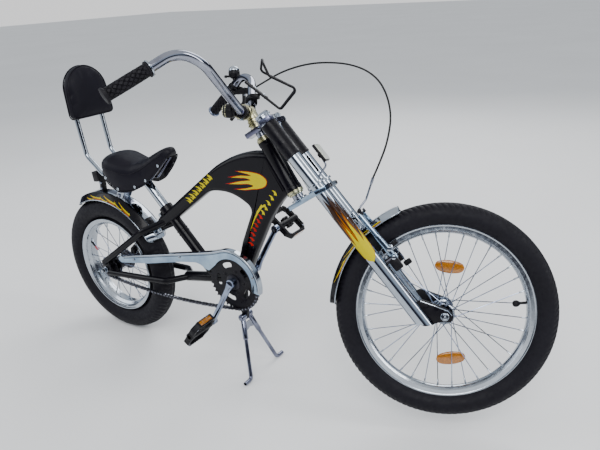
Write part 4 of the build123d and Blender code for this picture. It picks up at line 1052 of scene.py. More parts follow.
def guard(name, node, hub, steered, body, r_in, half, crown, t, a0, a1, steps, chrome_w, slot, tips=(8, 11), painted_dark_from=0):
    outer, inner = guard_section(half - 0.6, crown, t)
    ro = r_in + t
    loop = outer + inner
    m = len(loop)
    vs, fs, ids = [], [], []
    for i in range(steps + 1):
        f = i / steps
        a = math.radians(a0 + (a1 - a0) * f)
        # rounded tips: the ends of the strip narrow over the last few degrees
        end = min(f, 1 - f) * abs(a1 - a0)
        k_ = math.sqrt(max(0.0, 1 - (1 - min(1, end / 5.0)) ** 2)) * 0.45 + 0.55
        for dr, y in loop:
            R = ro + dr
            vs.append((hub[0] + R * math.cos(a), y * k_, hub[1] + R * math.sin(a)))
    no = len(outer)
    for i in range(steps):
        for k in range(m):
            k2 = (k + 1) % m
            fs.append((i * m + k, i * m + k2, (i + 1) * m + k2, (i + 1) * m + k))
            ymid = (loop[k][1] + loop[k2][1]) / 2
            if k < no - 1:
                deg = (i + 0.5) / steps * abs(a1 - a0)
                tip = deg < tips[0] or abs(a1 - a0) - deg < tips[1]
                q_ = abs(ymid) / half
                if tip or chrome_w - 0.17 < q_ < chrome_w:
                    ids.append(0)
                elif q_ >= chrome_w:
                    ids.append(1)
                else:
                    # crown faces past painted_dark_from get the dark metal, a painted reflection; nearer the start they
                    # stay chrome
                    ids.append(2 if deg > painted_dark_from else 0)
            else:
                ids.append(1)
    fs.append(tuple(range(m)))
    ids.append(0)
    fs.append(tuple(steps * m + k for k in reversed(range(m))))
    ids.append(0)
    G = Geo()
    G.put(vs, fs)
    G.m = ids
    # rolled edges
    for sy in (-1, 1):
        path = []
        for i in range(steps + 1):
            f = i / steps
            a = math.radians(a0 + (a1 - a0) * f)
            end = min(f, 1 - f) * abs(a1 - a0)
            k_ = math.sqrt(max(0.0, 1 - (1 - min(1, end / 5.0)) ** 2)) * 0.45 + 0.55
            R = ro + guard_drop(1.0, crown) + 0.4
            path.append((hub[0] + R * math.cos(a), sy * (half - 1.6) * k_, hub[1] + R * math.sin(a)))
        G.put(*sweep(path, 1.5, 10), 0)
    return G.out(name, body, [m_chrome, m_black, m_guard_painted_reflection], steered, 40, node, slot)


def guard_pt(hub, ro, half, crown, a, y, off=0.2):
    q = abs(y) / (half - 0.6)
    dr = guard_drop(q, crown)
    a = math.radians(a)
    R = ro + dr + off
    return (hub[0] + R * math.cos(a), y * (1 + off / half), hub[1] + R * math.sin(a))


def guard_licks(name, hub, steered, body, ro, half, crown, starts, length, slot, rev=1):
    """flame licks along the black side bands of a mudguard"""
    G = Geo()
    for sy in (-1, 1):
        for j, a in enumerate(starts):
            # outline in (angle, y) then lifted onto the guard
            ytop = half * (0.72 if j % 2 == 0 else 0.80)
            ln = length * (1.0 if j % 2 == 0 else 0.7)
            poly = tongue((a, ytop + half * 0.13), (a + rev * ln * 0.45, ytop + half * 0.20), (a + rev * ln, ytop - half * 0.10), half * (0.046 if j % 2 == 0 else 0.032), 12)
            for lift, mid, grow in ((0.10, 1, 1.25), (0.22, 0, 0.8)):
                cx_ = a
                pl = [(cx_ + (p[0] - cx_), ytop + (p[1] - ytop) * grow) for p in poly]
                v2, f2 = fine_tris([(p[0] * 4.0, p[1]) for p in pl], 4.0)
                G.put([guard_pt(hub, ro, half, crown, q[0] / 4.0, sy * min(q[1], half * 0.95), lift) for q in v2], f2, mid)
    o = G.out(name, body, [m_yellow, m_orange], steered, 60, None, slot)
    return o


guard("rear_guard", "rear_mudguard", RHUB, False, "frame", 241.0, 40.0, 20.5, 1.8, 31, 122, 110, 0.44, "mudguard_metal", (9, 8), 34)
guard_licks("rear_guard_licks", RHUB, False, "frame", 242.8, 40.0, 20.5, [58, 66, 74, 82, 90, 98], 15.0, "mudguard_metal", 1)
guard("front_guard", "front_mudguard", FHUB, True, "steering", 270.0, 30.0, 14.6, 1.6, 117, 181, 90, 0.46, "mudguard_metal", (19, 0))
guard_licks("front_guard_licks", FHUB, True, "steering", 271.6, 30.0, 14.6, [128, 135, 142, 149, 156], 14.0, "mudguard_metal", 1)

# bracket from the seat tube to the front end of the rear mudguard
G = Geo()
a_br = math.radians(37)
B0 = V(244.0 * math.cos(a_br), 0, 224.4 + 244.0 * math.sin(a_br))
B1 = SA + SD * 60
d_ = (B1 - B0) / np.linalg.norm(B1 - B0)
G.put(*rodm(B0, B1 - d_ * 14, 7.9, 28, 0.5), 0)
G.out("guard_stub", "frame", m_black, False, 35, "mudguard_bracket", "frame_paint")
G = Geo()
up = np.cross(V(0, 1, 0), d_)
G.put(*boxm(B0 + d_ * 1.6, (1.4, 17, 15), (d_, V(0, 1, 0), up), 1.2), 0)
for sy in (-1, 1):
    G.put(*boxm(B0 + d_ * 15 + V(0, sy * 9.4, 0), (15, 1.4, 10.5), (d_, V(0, 1, 0), up), 1.2), 0)
    G.put(*hexnut(B0 + d_ * 20 + V(0, sy * 10.8, 0), B0 + d_ * 20 + V(0, sy * 15.5, 0), 11, 0.8), 0)
    G.put(*lathe([(3, 0), (8.2, 0), (8.2, 1.2), (3, 1.2)], B0 + d_ * 20 + V(0, sy * 10.6, 0), V(0, sy, 0), 28, True), 0)
    G.put(*lathe([(0.01, 0), (4.6, 0), (4.4, 1.6), (2.6, 3.0), (0.01, 3.4)], B0 + up * 9 + V(0, sy * 9, 0) - d_ * 0.2, -d_, 20), 0)
G.out("guard_bracket_plates", "frame", m_chrome, False, 35, None, "chrome")
# black rubber clip of the mudguard
G = Geo()
pc = V(*guard_pt(RHUB, 242.8, 40, 20.5, 45, -6, 2.5))
e1 = V(-math.sin(math.radians(45)), 0, math.cos(math.radians(45)))
e3 = V(math.cos(math.radians(45)), 0, math.sin(math.radians(45)))
G.put(*boxm(pc, (12, 10, 4.5), (e1, V(0, 1, 0), e3), 2.2), 0)
G.put(*rodm(pc + e3 * 4, pc + e3 * 7.5, 3.6, 18), 1)
G.out("guard_clip", "frame", [m_plast, m_dark], False, 40, None, "mudguard_metal")

# ------------------------------------------------------------------ fork
LT, LB = S(34.6, 0, 603.0), S(118.9, 0, 17.8)
LD = (LB - LT) / np.linalg.norm(LB - LT)
LEG_LEN = float(np.linalg.norm(LB - LT))
LF = np.cross(V(0, 1, 0), LD)            # square to the leg in the side view
if LF[0] < 0:
    LF = -LF


def leg(s, y=0.0):
    return LT + LD * s + V(0, y, 0)


G = Geo()
for sy in (-1, 1):
    n = 48
    vs, fs = [], []
    for i, s_ in enumerate((0.0, 18.0, 114.0, 200.0, 330.0, 480.0, LEG_LEN - 0.5)):
        for k in range(n):
            a = 2 * math.pi * k / n
            p = leg(s_, sy * 57) + (LF * math.cos(a) + V(0, 1, 0) * math.sin(a)) * 17.5
            if i == 6:
                p = p + LD * ((281.5 - p[2]) / LD[2])
            vs.append(p)
    # lower mouth turned in, so that the tube shows its wall
    for k in range(n):
        a = 2 * math.pi * k / n
        p = leg(LEG_LEN - 0.5, sy * 57) + (LF * math.cos(a) + V(0, 1, 0) * math.sin(a)) * 15.0
        vs.append(p + LD * ((281.5 - p[2]) / LD[2]))
    for k in range(n):
        a = 2 * math.pi * k / n
        vs.append(leg(LEG_LEN - 26, sy * 57) + (LF * math.cos(a) + V(0, 1, 0) * math.sin(a)) * 15.0)
    for i in range(8):
        for k in range(n):
            k2 = (k + 1) % n
            fs.append((i * n + k, i * n + k2, (i + 1) * n + k2, (i + 1) * n + k))
    fs.append(tuple(range(n)))
    fs.append(tuple(8 * n + k for k in reversed(range(n))))
    G.put(vs, fs, 0)
    # dark oval patch in the inner face: painted shade standing for a slot
    c = leg(150, sy * (57 - 17.55))
    ov = []
    for k in range(28):
        a = 2 * math.pi * k / 28
        ov.append((18.5 * math.copysign(abs(math.cos(a)) ** 0.55, math.cos(a)), 3.6 * math.copysign(abs(math.sin(a)) ** 0.8, math.sin(a))))
    G.put(*prism(ov, -0.9, 0.35, lambda a, b, h, c=c, sy=sy: c + LD * a + LF * (b - 1.0) + V(0, -sy * h, 0), 0.0), 1)
G.out("fork_tubes", "steering", [m_chrome, m_dark], True, 30, "fork_legs", "chrome")

G = Geo()
for sy in (-1, 1):
    G.put(*lathe([(17.52, 0), (19.4, 0), (20.0, 0.8), (20.0, 90), (20.4, 90.8), (20.4, 95), (19.8, 96), (17.52, 96)], leg(18, sy * 57), LD, 56, True))
G.out("fork_sleeve_tubes", "steering", m_satin, True, 30, "fork_sleeves", "black_metal")
G = Geo()
for sy in (-1, 1):
    o_ = leg(0, sy * 57)
    G.put(*lathe([(0.01, 0), (19.2, 0), (20.0, -0.8), (20.0, -2.6), (19.2, -3.4), (0.01, -3.4)], o_, LD, 48), 0)
    G.put(*hexnut(o_ - LD * 3.3, o_ - LD * 9.0, 33.0, 1.6), 0)
    G.put(*lathe([(0.01, -8.7), (6.0, -8.7), (6.6, -9.0), (0.01, -9.0)], o_, LD, 24), 0)
G.out("fork_hex_caps", "steering", m_chrome, True, 30, "fork_caps", "chrome")

refine("upper_crown", m_crown, 2.0, 3)
refine("lower_crown", m_chrome_blue, 2.2, 3)
G = Geo()
for sy in (-1, 1):
    # collars where the legs leave the crowns, and pinch bolts
    for t_ in (397.0,):
        s_ = float(np.dot(S(0, 0, t_) - LT, AX) / np.dot(LD, AX))
        G.put(*lathe([(17.52, 0), (21.6, 0), (22.4, 0.9), (22.4, 5.2), (21.6, 6.2), (17.52, 6.2)], leg(s_ - 14.5, sy * 57), LD, 48, True), 0)
    q = S(74, sy * 30, 391)
    G.put(*rodm(q + V(0, -sy * 9, 0), q + V(0, sy * 9, 0), 4.4, 18), 1)
    G.put(*hexnut(q + V(0, -sy * 12, 0) + NV * 4, q + V(0, -sy * 12, 0) + NV * 9.5, 10, 0.8), 1)
    q2 = S(88, sy * 57, 391)
    G.put(*hexnut(q2 - NV * 1.5, q2 + NV * 4.0, 9.5, 0.8), 1)
    q3 = S(56, sy * 57, 592)
    G.put(*hexnut(q3 - NV * 1.5, q3 + NV * 3.5, 9.5, 0.8), 0)
    G.put(*hexnut(S(8, sy * 29, 591) + V(0, -sy * 1, 0), S(8, sy * 30.5, 591), 9.5, 0.8), 0)
q = S(66, 0, 391)
G.put(*boxm(q, (11, 17, 8.0), (NV, V(0, 1, 0), AX), 2.4), 1)
G.put(*hexnut(q + AX * 7.6, q + AX * 13, 12, 0.9), 1)
G.put(*lathe([(14.1, 0), (19.5, 0), (20.2, 0.8), (20.2, 3.4), (18, 4.4), (14.1, 4.4)], S(0, 0, 398), AX, 48, True), 0)
G.out("crown_fittings", "steering", [m_chrome, m_dark], True, 35, None, "chrome")
G = Geo()
for sy in (-1, 1):
    G.put(*sweep([S(41, sy * 30.5, 397.5), S(41, sy * 30.5, 585.5)], 5.5, 28), 0)
    G.put(*lathe([(5.4, 0), (8.2, 0), (8.6, 0.6), (8.6, 4), (5.4, 4)], S(41, sy * 30.5, 397), AX, 28, True), 0)
    G.put(*lathe([(5.4, 0), (8.6, 0), (8.6, 3.4), (8.2, 4), (5.4, 4)], S(41, sy * 30.5, 582), AX, 28, True), 0)
G.out("fork_strut_rods", "steering", m_chrome, True, 35, "fork_struts", "chrome")

# flame film wrapped on the lower legs: blunt-pointed heads at the foot, licks running up
G = Geo()
HEADP = [(417, 0), (409, 8.5), (397, 14.5), (382, 17.0), (362, 17.5), (336, 15.5), (348, 12.0), (362, 10.6), (344, 8.6), (318, 6.6), (298, 4.4), (322, 2.6), (347, 2.6),
         (356, 0.5), (332, -2.4), (308, -3.2), (284, -6.0), (318, -8.4), (348, -9.6), (362, -9.4), (344, -13.4), (322, -16.0), (352, -18.0), (382, -17.0), (397, -14.5), (409, -8.5)]
GROUND = [(374, 24), (340, 23), (306, 25), (262, 22), (286, 17), (262, 11), (232, 7), (262, 1), (226, -6), (262, -11), (240, -16), (286, -19), (262, -24), (306, -25), (340, -23), (374, -24), (384, 0)]
for sy in (-1, 1):
    for mid_a in (1.55,):
        v2, f2 = fine_tris(GROUND, 5.0)
        G.put([leg(a, sy * 57) + (LF * math.cos(b / 17.5 + mid_a) + V(0, sy, 0) * math.sin(b / 17.5 + mid_a)) * 17.56 for a, b in v2], f2, 2)
        for grow, lift, mid in ((1.0, 0.14, 1), (0.90, 0.24, 0)):
            cs, cb = 386.0, 0.0
            poly = [(cs + (a - cs) * (1.0 if a > cs else (0.80 if mid == 0 else 1.0)), cb + (b - cb) * grow * 1.25) for a, b in HEADP]
            v2, f2 = fine_tris(poly, 4.0)
            outv = []
            for a, b in v2:
                an = b / 17.5 + mid_a
                outv.append(leg(a, sy * 57) + (LF * math.cos(an) + V(0, sy, 0) * math.sin(an)) * (17.5 + lift))
            G.put(outv, f2, mid)
        # dark ember streaks running on up the leg
        for off, s0, s1, w_ in ((-9.5, 345, 276, 2.6), (0.5, 352, 268, 3.0), (9.5, 350, 284, 2.6)):
            poly = tongue((s0, off), ((s0 + s1) / 2, off + 2.4), (s1, off - 1.0), w_, 12)
            v2, f2 = fine_tris(poly, 4.0)
            G.put([leg(a, sy * 57) + (LF * math.cos(b / 17.5 + mid_a) + V(0, sy, 0) * math.sin(b / 17.5 + mid_a)) * 17.58 for a, b in v2], f2, 1)
G.out("fork_flame_film", "steering", [m_yellow, m_orange, m_brown], True, 60, None, "chrome")

# black bridge and the drop-out plates
G = Geo()
bs = leg(322)
G.put(*sweep([bs + V(0, -41.5, 0), bs + V(0, -30, 0), bs + V(0, 30, 0), bs + V(0, 41.5, 0)], [8.6, 7.6, 7.6, 8.6], 28), 0)
G.put(*boxm(bs, (7.0, 12, 13.0), (LF, V(0, 1, 0), LD), 2.5), 0)
G.put(*hexnut(bs + LF * 6.5, bs + LF * 13, 11.5, 0.9), 1)
for sy in (-1, 1):
    G.put(*lathe([(8, 0), (11.5, 0), (11.5, 3.4), (8, 4.4)], bs + V(0, sy * 36.0, 0), V(0, sy, 0), 28, True), 0)
G.out("fork_bridge_bar", "steering", [m_satin, m_chrome], True, 35, "fork_bridge", "black_metal")
G = Geo()
dp = resample([(994, 322), (1016, 336), (1078, 318), (1092, 306), (1088, 288), (1060, 286), (1030, 272), (1003, 281)], 2.5, 7)
for sy in (-1, 1):
    y0 = sy * 48.2
    G.put(*prism([tuple(q) for q in dp], min(y0, y0 + sy * 8.0), max(y0, y0 + sy * 8.0), lambda a, b, h: (a, h, b), 1.2, 2), 0)
    for q in ((1008, 316), (1018, 297)):
        G.put(*hexnut((q[0], sy * 56.0, q[1]), (q[0], sy * 60.5, q[1]), 11, 0.9), 1)
    # chrome strip along the top of the plate: painted highlight standing for the light caught by the pressed edge
    path = [(1014, sy * 56.6, 332.5), (1046, sy * 56.6, 324.0), (1077, sy * 56.6, 314.6), (1087, sy * 56.6, 305)]
    G.put(*sweep(path, 1.2, 8), 1)
G.out("drop_plates", "steering", [m_satin, m_chrome], True, 35, "fork_dropouts", "black_metal")

# ------------------------------------------------------------------ stem, bar, grips
G = Geo()
prof = [(10, 0), (17.5, 0), (19.2, 0.8), (19.2, 5.2), (18, 6.4), (16.4, 7), (16.4, 8.2), (18.6, 9.2), (18.6, 13.2), (17.4, 14.2), (15.6, 15),
        (15.6, 17), (17.6, 18), (17.6, 22), (16, 23), (15, 24.5), (15, 40), (14, 48), (10, 52)]
G.put(*lathe(prof, S(0, 0, 598), AX, 56, True), 0)
for k in range(24):
    a = 2 * math.pi * k / 24
    x_, y_, _ = frame_of(AX)
    q = S(0, 0, 607.2) + (x_ * math.cos(a) + y_ * math.sin(a)) * 18.7
    G.put(*boxm(q + AX * 4, (0.9, 0.8, 2.4), None, 0.25, 1), 0)
BC = V(574, 0, 745)
G.put(*lathe([(11.12, -26), (17.6, -26), (18.6, -25), (18.6, -9), (17.4, -8.2), (17.4, 8.2), (18.6, 9), (18.6, 25), (17.6, 26), (11.12, 26)], BC, V(0, 1, 0), 56, True), 0)
G.put(*boxm(BC + V(-15, 0, -9), (7.5, 24.0, 6.0), (V(0.8, 0, -0.6), V(0, 1, 0), V(0.6, 0, 0.8)), 2.0), 0)
for sy in (-1, 1):
    q = BC + V(-17, sy * 14, 3)
    G.put(*rodm(q + V(2, 0, -22), q + V(-2, 0, 13), 3.4, 18), 1)
    G.put(*hexnut(q + V(-2, 0, 9), q + V(-3, 0, 15.5), 10.5, 1.0), 1)
G.put(*hexnut(S(0, 0, 650), S(0, 0, 661), 17, 1.4), 1)
G.out("stem_body", "steering", [m_brass, m_chrome], True, 32, "stem", "chrome")

BARH = [(574, 44, 745), (531.7, 188.1, 837.1), (492.1, 232.1, 855.9), (452.4, 265.9, 819), (379.2, 321.4, 756)]
BARP = [(a, -b, c) for a, b, c in reversed(BARH)] + BARH
bar = arc_path(BARP, [40, 74, 96, 26, 26, 96, 74, 40], 3.0)
G = Geo().put(*sweep(bar, 11.1, 32))
G.out("bar_tube", "steering", m_bar_shaded_chrome, True, 40, "handlebar", "chrome")


def grip_mesh(sy):
    a, b = V(452.4, sy * 265.9, 819), V(379.2, sy * 321.4, 756)
    d = (b - a) / np.linalg.norm(b - a)
    L = float(np.linalg.norm(b - a))
    x, y, _ = frame_of(d)
    s0, s1 = 12.5, L - 5.0
    nl, na = 96, 64
    vs, fs = [], []
    for i in range(nl + 1):
        s = s0 + (s1 - s0) * i / nl
        f = (s - s0) / (s1 - s0)
        base_r = 13.1 + 0.4 * math.sin(f * math.pi)
        for k in range(na):
            t = 2 * math.pi * k / na
            u1 = (s / 14.0 + t * 8 / (2 * math.pi)) % 1.0
            u2 = (s / 14.0 - t * 8 / (2 * math.pi)) % 1.0
            gr = 1.0 if (u1 < 0.17 or u2 < 0.17) else 0.0
            if f < 0.03 or f > 0.97:
                gr = 0.0
            r = base_r + 0.8 - 2.1 * gr
            vs.append(a + d * s + (x * math.cos(t) + y * math.sin(t)) * r)
    for i in range(nl):
        for k in range(na):
            k2 = (k + 1) % na
            fs.append((i * na + k, i * na + k2, (i + 1) * na + k2, (i + 1) * na + k))
    G = Geo().put(vs, fs, 0)
    G.put(*lathe([(11.1, 0), (14.4, 0), (16.6, 1.0), (17.5, 2.6), (17.5, 5.0), (16.8, 6.6), (14.0, 7.4), (11.1, 7.4)], a + d * (L - 5.5), d, 48, True), 3 if sy > 0 else 0)
    G.put(*lathe([(0.01, 0), (12.5, 0), (13.6, 0.5), (13.6, 1.6), (11, 2.6), (0.01, 3.0)], a + d * (L - 0.4), d, 40), 0)
    G.put(*lathe([(11.12, 0), (15.8, 0), (17.0, 1), (17.0, 3.0), (15.8, 4.0), (13.6, 4.6), (13.6, 6.2), (11.12, 6.2)], a + d * 7.4, d, 48, True), 0)
    G.put(*lathe([(11.12, 0), (16.4, 0), (17.8, 0.9), (17.8, 3.4), (16.4, 4.3), (11.12, 4.3)], a + d * 2.8, d, 48, True), 1)
    return G.out("grip_rubber_" + ("left" if sy > 0 else "right"), "steering", [m_grip, m_chrome, m_steel, m_crank], True, 50,
                 "grip_left" if sy > 0 else "grip_right", "grip_rubber")


grip_mesh(-1)
grip_mesh(1)

# ------------------------------------------------------------------ brake lever, bell, lamp
la, lb = V(492.1, 232.1, 855.9), V(452.4, 265.9, 819)
ld = (lb - la) / np.linalg.norm(lb - la)
lc = lb - ld * 6
lh, be = V(503.7, 256.8, 815.4), V(527.7, 247.8, 825.4)
G = Geo()
G.put(*lathe([(11.12, -5), (14.8, -5), (15.5, -4.3), (15.5, 4.3), (14.8, 5), (11.12, 5)], lc, ld, 44, True), 0)
hs0 = lc + V(11, 0, -10)
hd_ = (lh - hs0) / np.linalg.norm(lh - hs0)
hw_ = np.cross(V(0, 0, 1), hd_)
hw_ /= np.linalg.norm(hw_)
G.put(*boxm((hs0 + lh) / 2, (float(np.linalg.norm(lh - hs0)) / 2 + 3, 8.6, 8.4), (hd_, hw_, np.cross(hd_, hw_)), 4.0, 4), 0)
G.put(*boxm(hs0 + V(6, 2, 4), (11, 7.5, 9.5), (hd_, hw_, np.cross(hd_, hw_)), 3.4, 3), 0)
bd = be - lh
bl_ = float(np.linalg.norm(bd))
bd = bd / bl_
prof = [(0.01, 0), (5.6, 0), (6.2, 0.6)]
for k in range(6):
    prof += [(6.2, 1.2 + k * 2.4), (5.0, 1.8 + k * 2.4), (5.0, 2.6 + k * 2.4), (6.2, 3.2 + k * 2.4)]
prof += [(6.0, 16.2), (4.2, 17), (4.2, 23), (3.4, bl_), (0.01, bl_)]
G.put(*lathe(prof, lh, bd, 28), 0)
blade = arc_path([lc + V(34, -5, -10), lc + V(26, 26, -38), lc + V(-24, 66, -88)], [30], 4)
G.put(*sweep(blade, [5.4] * (len(blade) - 3) + [5.2, 5.0, 5.6], 18), 0)
G.put(*rodm(lc + V(36, -4, -21), lc + V(36, -4, 2), 3.2, 18), 1)
G.out("brake_lever_body", "steering", [m_plast, m_steel], True, 40, "brake_lever", "black_plastic")

bc = V(461, 258, 849)
bv = V(-4, 4, 35)
bl = float(np.linalg.norm(bv))
bv = bv / bl
bm_ = lb - ld * 19
G = Geo()
G.put(*lathe([(0.01, 0), (9.0, 0), (11.5, 2.0), (12.4, 6.0), (15.4, 8.6), (16.0, 10.0), (16.0, 19.0), (15.2, 20.0), (0.01, 20.4)], bc, bv, 48), 0)
for k in range(14):
    a = 2 * math.pi * k / 14
    x_, y_, _ = frame_of(bv)
    G.put(*boxm(bc + bv * 14.5 + (x_ * math.cos(a) + y_ * math.sin(a)) * 15.3, (0.8, 0.8, 3.4), (x_, y_, bv), 0.3, 1), 0)
dome = [(15.4 * math.cos(math.radians(a)) ** 0.8 if a < 90 else 0.01, 21.2 + (bl - 22.4) * math.sin(math.radians(a))) for a in range(0, 91, 9)]
G.put(*lathe([(13.0, 20.6), (15.4, 20.8)] + dome, bc, bv, 48), 1)
G.put(*lathe([(0.01, 0), (3, 0), (3, 0.9), (1.8, 1.2), (0.01, 1.3)], bc + bv * (bl - 1.4), bv, 24), 1)
G.put(*rodm(bm_, bc + bv * 3, 5.8, 24), 0)
G.put(*lathe([(11.13, -4), (12.8, -4), (13.4, -3.4), (13.4, 3.4), (12.8, 4), (11.13, 4)], bm_, ld, 40, True), 0)
G.put(*boxm(bc + bv * 5 + V(-15, -9, -1), (7.5, 4.2, 2.8), (V(-0.83, -0.55, -0.05), V(0.55, -0.83, 0), V(0, 0, 1)), 1.6, 3), 0)
G.put(*boxm(bc + bv * 5 + V(-21, -13, -2), (3.6, 5.4, 3.8), (V(-0.83, -0.55, -0.05), V(0.55, -0.83, 0), V(0, 0, 1)), 2.0, 3), 0)
G.out("bell_body", "steering", [m_plast, m_chrome], True, 40, "bell", "chrome")

G = Geo()
lpc = V(545, -44, 746)
prof = [(0.01, -16.5), (9, -16), (13.0, -14), (15.6, -10.5), (16.5, -6), (16.5, 6), (16.0, 8.5), (14.2, 10), (12, 11.2), (12, 16), (9, 18), (0.01, 18.4)]
G.put(*lathe(prof, lpc, V(1, 0, 0), 44), 0)
G.put(*lathe([(11.13, -8.5), (14.6, -8.5), (15.2, -7.8), (15.2, 7.8), (14.6, 8.5), (11.13, 8.5)], V(574, -38, 745), V(0, 1, 0), 40, True), 0)
G.put(*boxm(V(563, -42, 748), (9, 6.5, 7.5), None, 2.5), 0)
# ribbed amber-tinted front facet
for k in range(5):
    a = math.radians(-52 + 26 * k)
    q = lpc + V(-9.5, -13.8 * math.cos(a), 13.8 * math.sin(a))
    G.put(*boxm(q, (5.4, 1.6, 2.6), (V(0.93, -0.36 * math.cos(a), 0.36 * math.sin(a)), V(0, math.cos(a), -math.sin(a)), V(0, math.sin(a), math.cos(a))), 0.8), 1)
G.put(*hexnut(V(574, -38, 729.5), V(574, -38, 724.5), 8.5, 0.7), 2)
G.out("lamp_body", "steering", [m_plast, m_brass, m_chrome], True, 40, "bar_lamp", "black_plastic")

# ------------------------------------------------------------------ reflector on its wire stalk
rn = V(0.7536, 0, 0.6573)
rc = V(761, 0, 658)


def rrect(w, h, r, n=7):
    out = []
    for cx_, cy_, a0 in ((w - r, h - r, 0), (-w + r, h - r, 90), (-w + r, -h + r, 180), (w - r, -h + r, 270)):
        for k in range(n + 1):
            a = math.radians(a0 + 90 * k / n)
            out.append((cx_ + r * math.cos(a), cy_ + r * math.sin(a)))
    return out


G = Geo()
G.put(*prism(rrect(24, 33, 4.5), -4.5, 2.2, lambda a, b, h: rc + LD * a + V(0, b, 0) + rn * h, 1.4, 3), 0)
G.put(*prism(rrect(21.5, 30.5, 3.5), 1.8, 4.4, lambda a, b, h: rc + LD * a + V(0, b, 0) + rn * h, 1.2, 3), 1)
G.put(*boxm(rc - rn * 7.0 + LD * 4, (5.5, 6.5, 4.0), (LD, V(0, 1, 0), rn), 1.5), 0)
stalk = arc_path([rc - rn * 6.5 + LD * 6, V(775, 0, 628), V(757, 0, 602), S(66, 0, 397.6)], [9, 14], 2.5)
G.put(*sweep(stalk, 2.4, 16), 2)
G.out("fork_reflector", "steering", [m_plast, m_white, m_steel], True, 40, "front_reflector", "black_plastic")

# ------------------------------------------------------------------ bottle cage
CAGE = [(546, 76, 824), (641, 76, 758), (684, 62, 808), (613, 56, 838), (597, 62, 866), (585, 90, 884), (575, 118, 856), (597, 124, 846),
        (670, 118, 814), (633, 104, 760), (540, 104, 828)]
G = Geo()
G.put(*sweep(arc_path(CAGE, [7, 9, 14, 12, 14, 12, 14, 9, 7], 1.6), 3.15, 16), 0)
G.put(*rodm((560, 74, 814.4), (556, 106, 817.4), 3.8, 16), 0)
G.put(*rodm((600, 74, 786.6), (596, 106, 788.6), 3.8, 16), 0)
ra, rb = V(574, 44, 745), V(531.7, 188.1, 837.1)
rdv = (rb - ra) / np.linalg.norm(rb - ra)
rcc = ra + (rb - ra) * 0.36
G.put(*lathe([(11.13, -9), (14.6, -9), (15.5, -8.2), (15.5, 8.2), (14.6, 9), (11.13, 9)], rcc, rdv, 40, True), 1)
cd = np.array((600 - 560, 0, 787 - 815), float)
cd /= np.linalg.norm(cd)
cn = np.cross(cd, V(0, 1, 0))
G.put(*boxm(V(580, 90, 801), (27, 8.5, 2.6), (cd, V(0, 1, 0), cn), 1.6), 1)
G.put(*boxm((rcc + V(578, 90, 801)) / 2, (12, 8, 7), None, 2.4), 1)
for f in (-14, 14):
    G.put(*lathe([(0.01, 0), (4.2, 0), (4.0, 1.4), (2.2, 2.4), (0.01, 2.6)], V(580, 90, 801) + cd * f - cn * 2.6, -cn, 20), 2)
    G.put(*lathe([(0.01, 0), (4.2, 0), (4.0, 1.4), (2.2, 2.4), (0.01, 2.6)], V(580, 90, 801) + cd * f + cn * 2.6, cn, 20), 2)
G.out("cage_wires", "steering", [m_satin, m_plast, m_chrome], True, 40, "bottle_cage", "black_metal")

# ------------------------------------------------------------------ front brake
G = Geo()
for sy in (-1, 1):
    a0, a1, a2 = V(948, sy * 45, 428), V(905, sy * 43, 474), V(862, sy * 34, 518)
    path = arc_path([a0, a1, a2], [60], 4)
    n = len(path)
    sec = [(math.copysign(abs(math.cos(t)) ** 0.6, math.cos(t)) * 0.62, math.copysign(abs(math.sin(t)) ** 0.6, math.sin(t))) for t in np.linspace(0, 2 * math.pi, 24, endpoint=False)]
    G.put(*sweep(path, [7.4 - 2.2 * k / (n - 1) for k in range(n)], section=sec), 0)
    G.put(*lathe([(0.01, -7), (7.4, -7), (8.2, -6.2), (8.2, 5.6), (7.2, 6.6), (0.01, 6.6)], a0, V(0, 1, 0), 32), 0)
    G.put(*hexnut(a0 + V(0, sy * 6, 0), a0 + V(0, sy * 11, 0), 9.5, 0.9), 1)
    # return spring: a coil at the pivot and a long leg up the arm
    coil = []
    for k in range(0, 97):
        t = 2 * math.pi * k / 24
        coil.append(a0 + V(8.8 * math.cos(t), sy * (-7.4 + 3.0 * k / 96), 8.8 * math.sin(t)))
    coil += [a0 + V(-22, -sy * 4.6, 34), a0 + V(-52, -sy * 6, 64)]
    G.put(*sweep(coil, 0.9, 8), 1)
    # black boss cover below the pivot
    bc_ = a0 + V(6, sy * 2, -15)
    G.put(*boxm(bc_, (15.5, 8.0, 11.0), (LD, V(0, 1, 0), LF), 4.0, 4), 3)
    G.put(*boxm(bc_ - LD * 2, (9.0, 9.2, 8.0), (LD, V(0, 1, 0), LF), 2.4, 3), 3)
    # lower boss towards the fork leg
    G.put(*rodm(a0, a0 + V(-26, sy * 7, -22), 6.6, 24, 1.2), 2)
    # shoe: holder, block, washers and threaded stud
    pc = V(936, sy * 19.4, 446)
    ea = V(0.731, 0, -0.682)
    eb = V(0.682, 0, 0.731)
    ea, eb = V(math.cos(math.radians(43)), 0, -math.sin(math.radians(43))) * -1, V(math.sin(math.radians(43)), 0, math.cos(math.radians(43)))
    ea = V(math.cos(math.radians(-43)), 0, math.sin(math.radians(43)))
    eb = np.cross(ea, V(0, 1, 0))
    G.put(*boxm(pc, (21.5, 3.3, 5.4), (ea, V(0, 1, 0), eb), 1.6, 3), 3)
    G.put(*rodm(V(936, sy * 22.0, 446), V(936, sy * 50, 446), 3.0, 16), 1)
    for yy, rr, th in ((24.5, 7.6, 2.2), (27.5, 6.4, 2.4), (36.5, 7.2, 2.2)):
        G.put(*lathe([(3, 0), (rr - 0.6, 0), (rr, 0.6), (rr, th - 0.6), (rr - 0.6, th), (3, th)], V(936, sy * yy, 446), V(0, sy, 0), 28, True), 1)
    G.put(*hexnut(V(936, sy * 46.0, 446), V(936, sy * 51.0, 446), 10, 0.8), 1)
    G.put(*hexnut(a2 + V(0, -sy * 1, 0) + LF * 4, a2 + LF * 10, 9.5, 0.9), 2)
G.out("brake_arms", "steering", [m_chrome_blue, m_chrome, m_dark, m_plast], True, 38, "front_brake", "chrome")
G = Geo()
NOOD = [(884, 41, 602), (870, 41, 548), (856, 32, 527), (858, 12, 524)]
npth = arc_path(NOOD, [20, 12], 2.0)
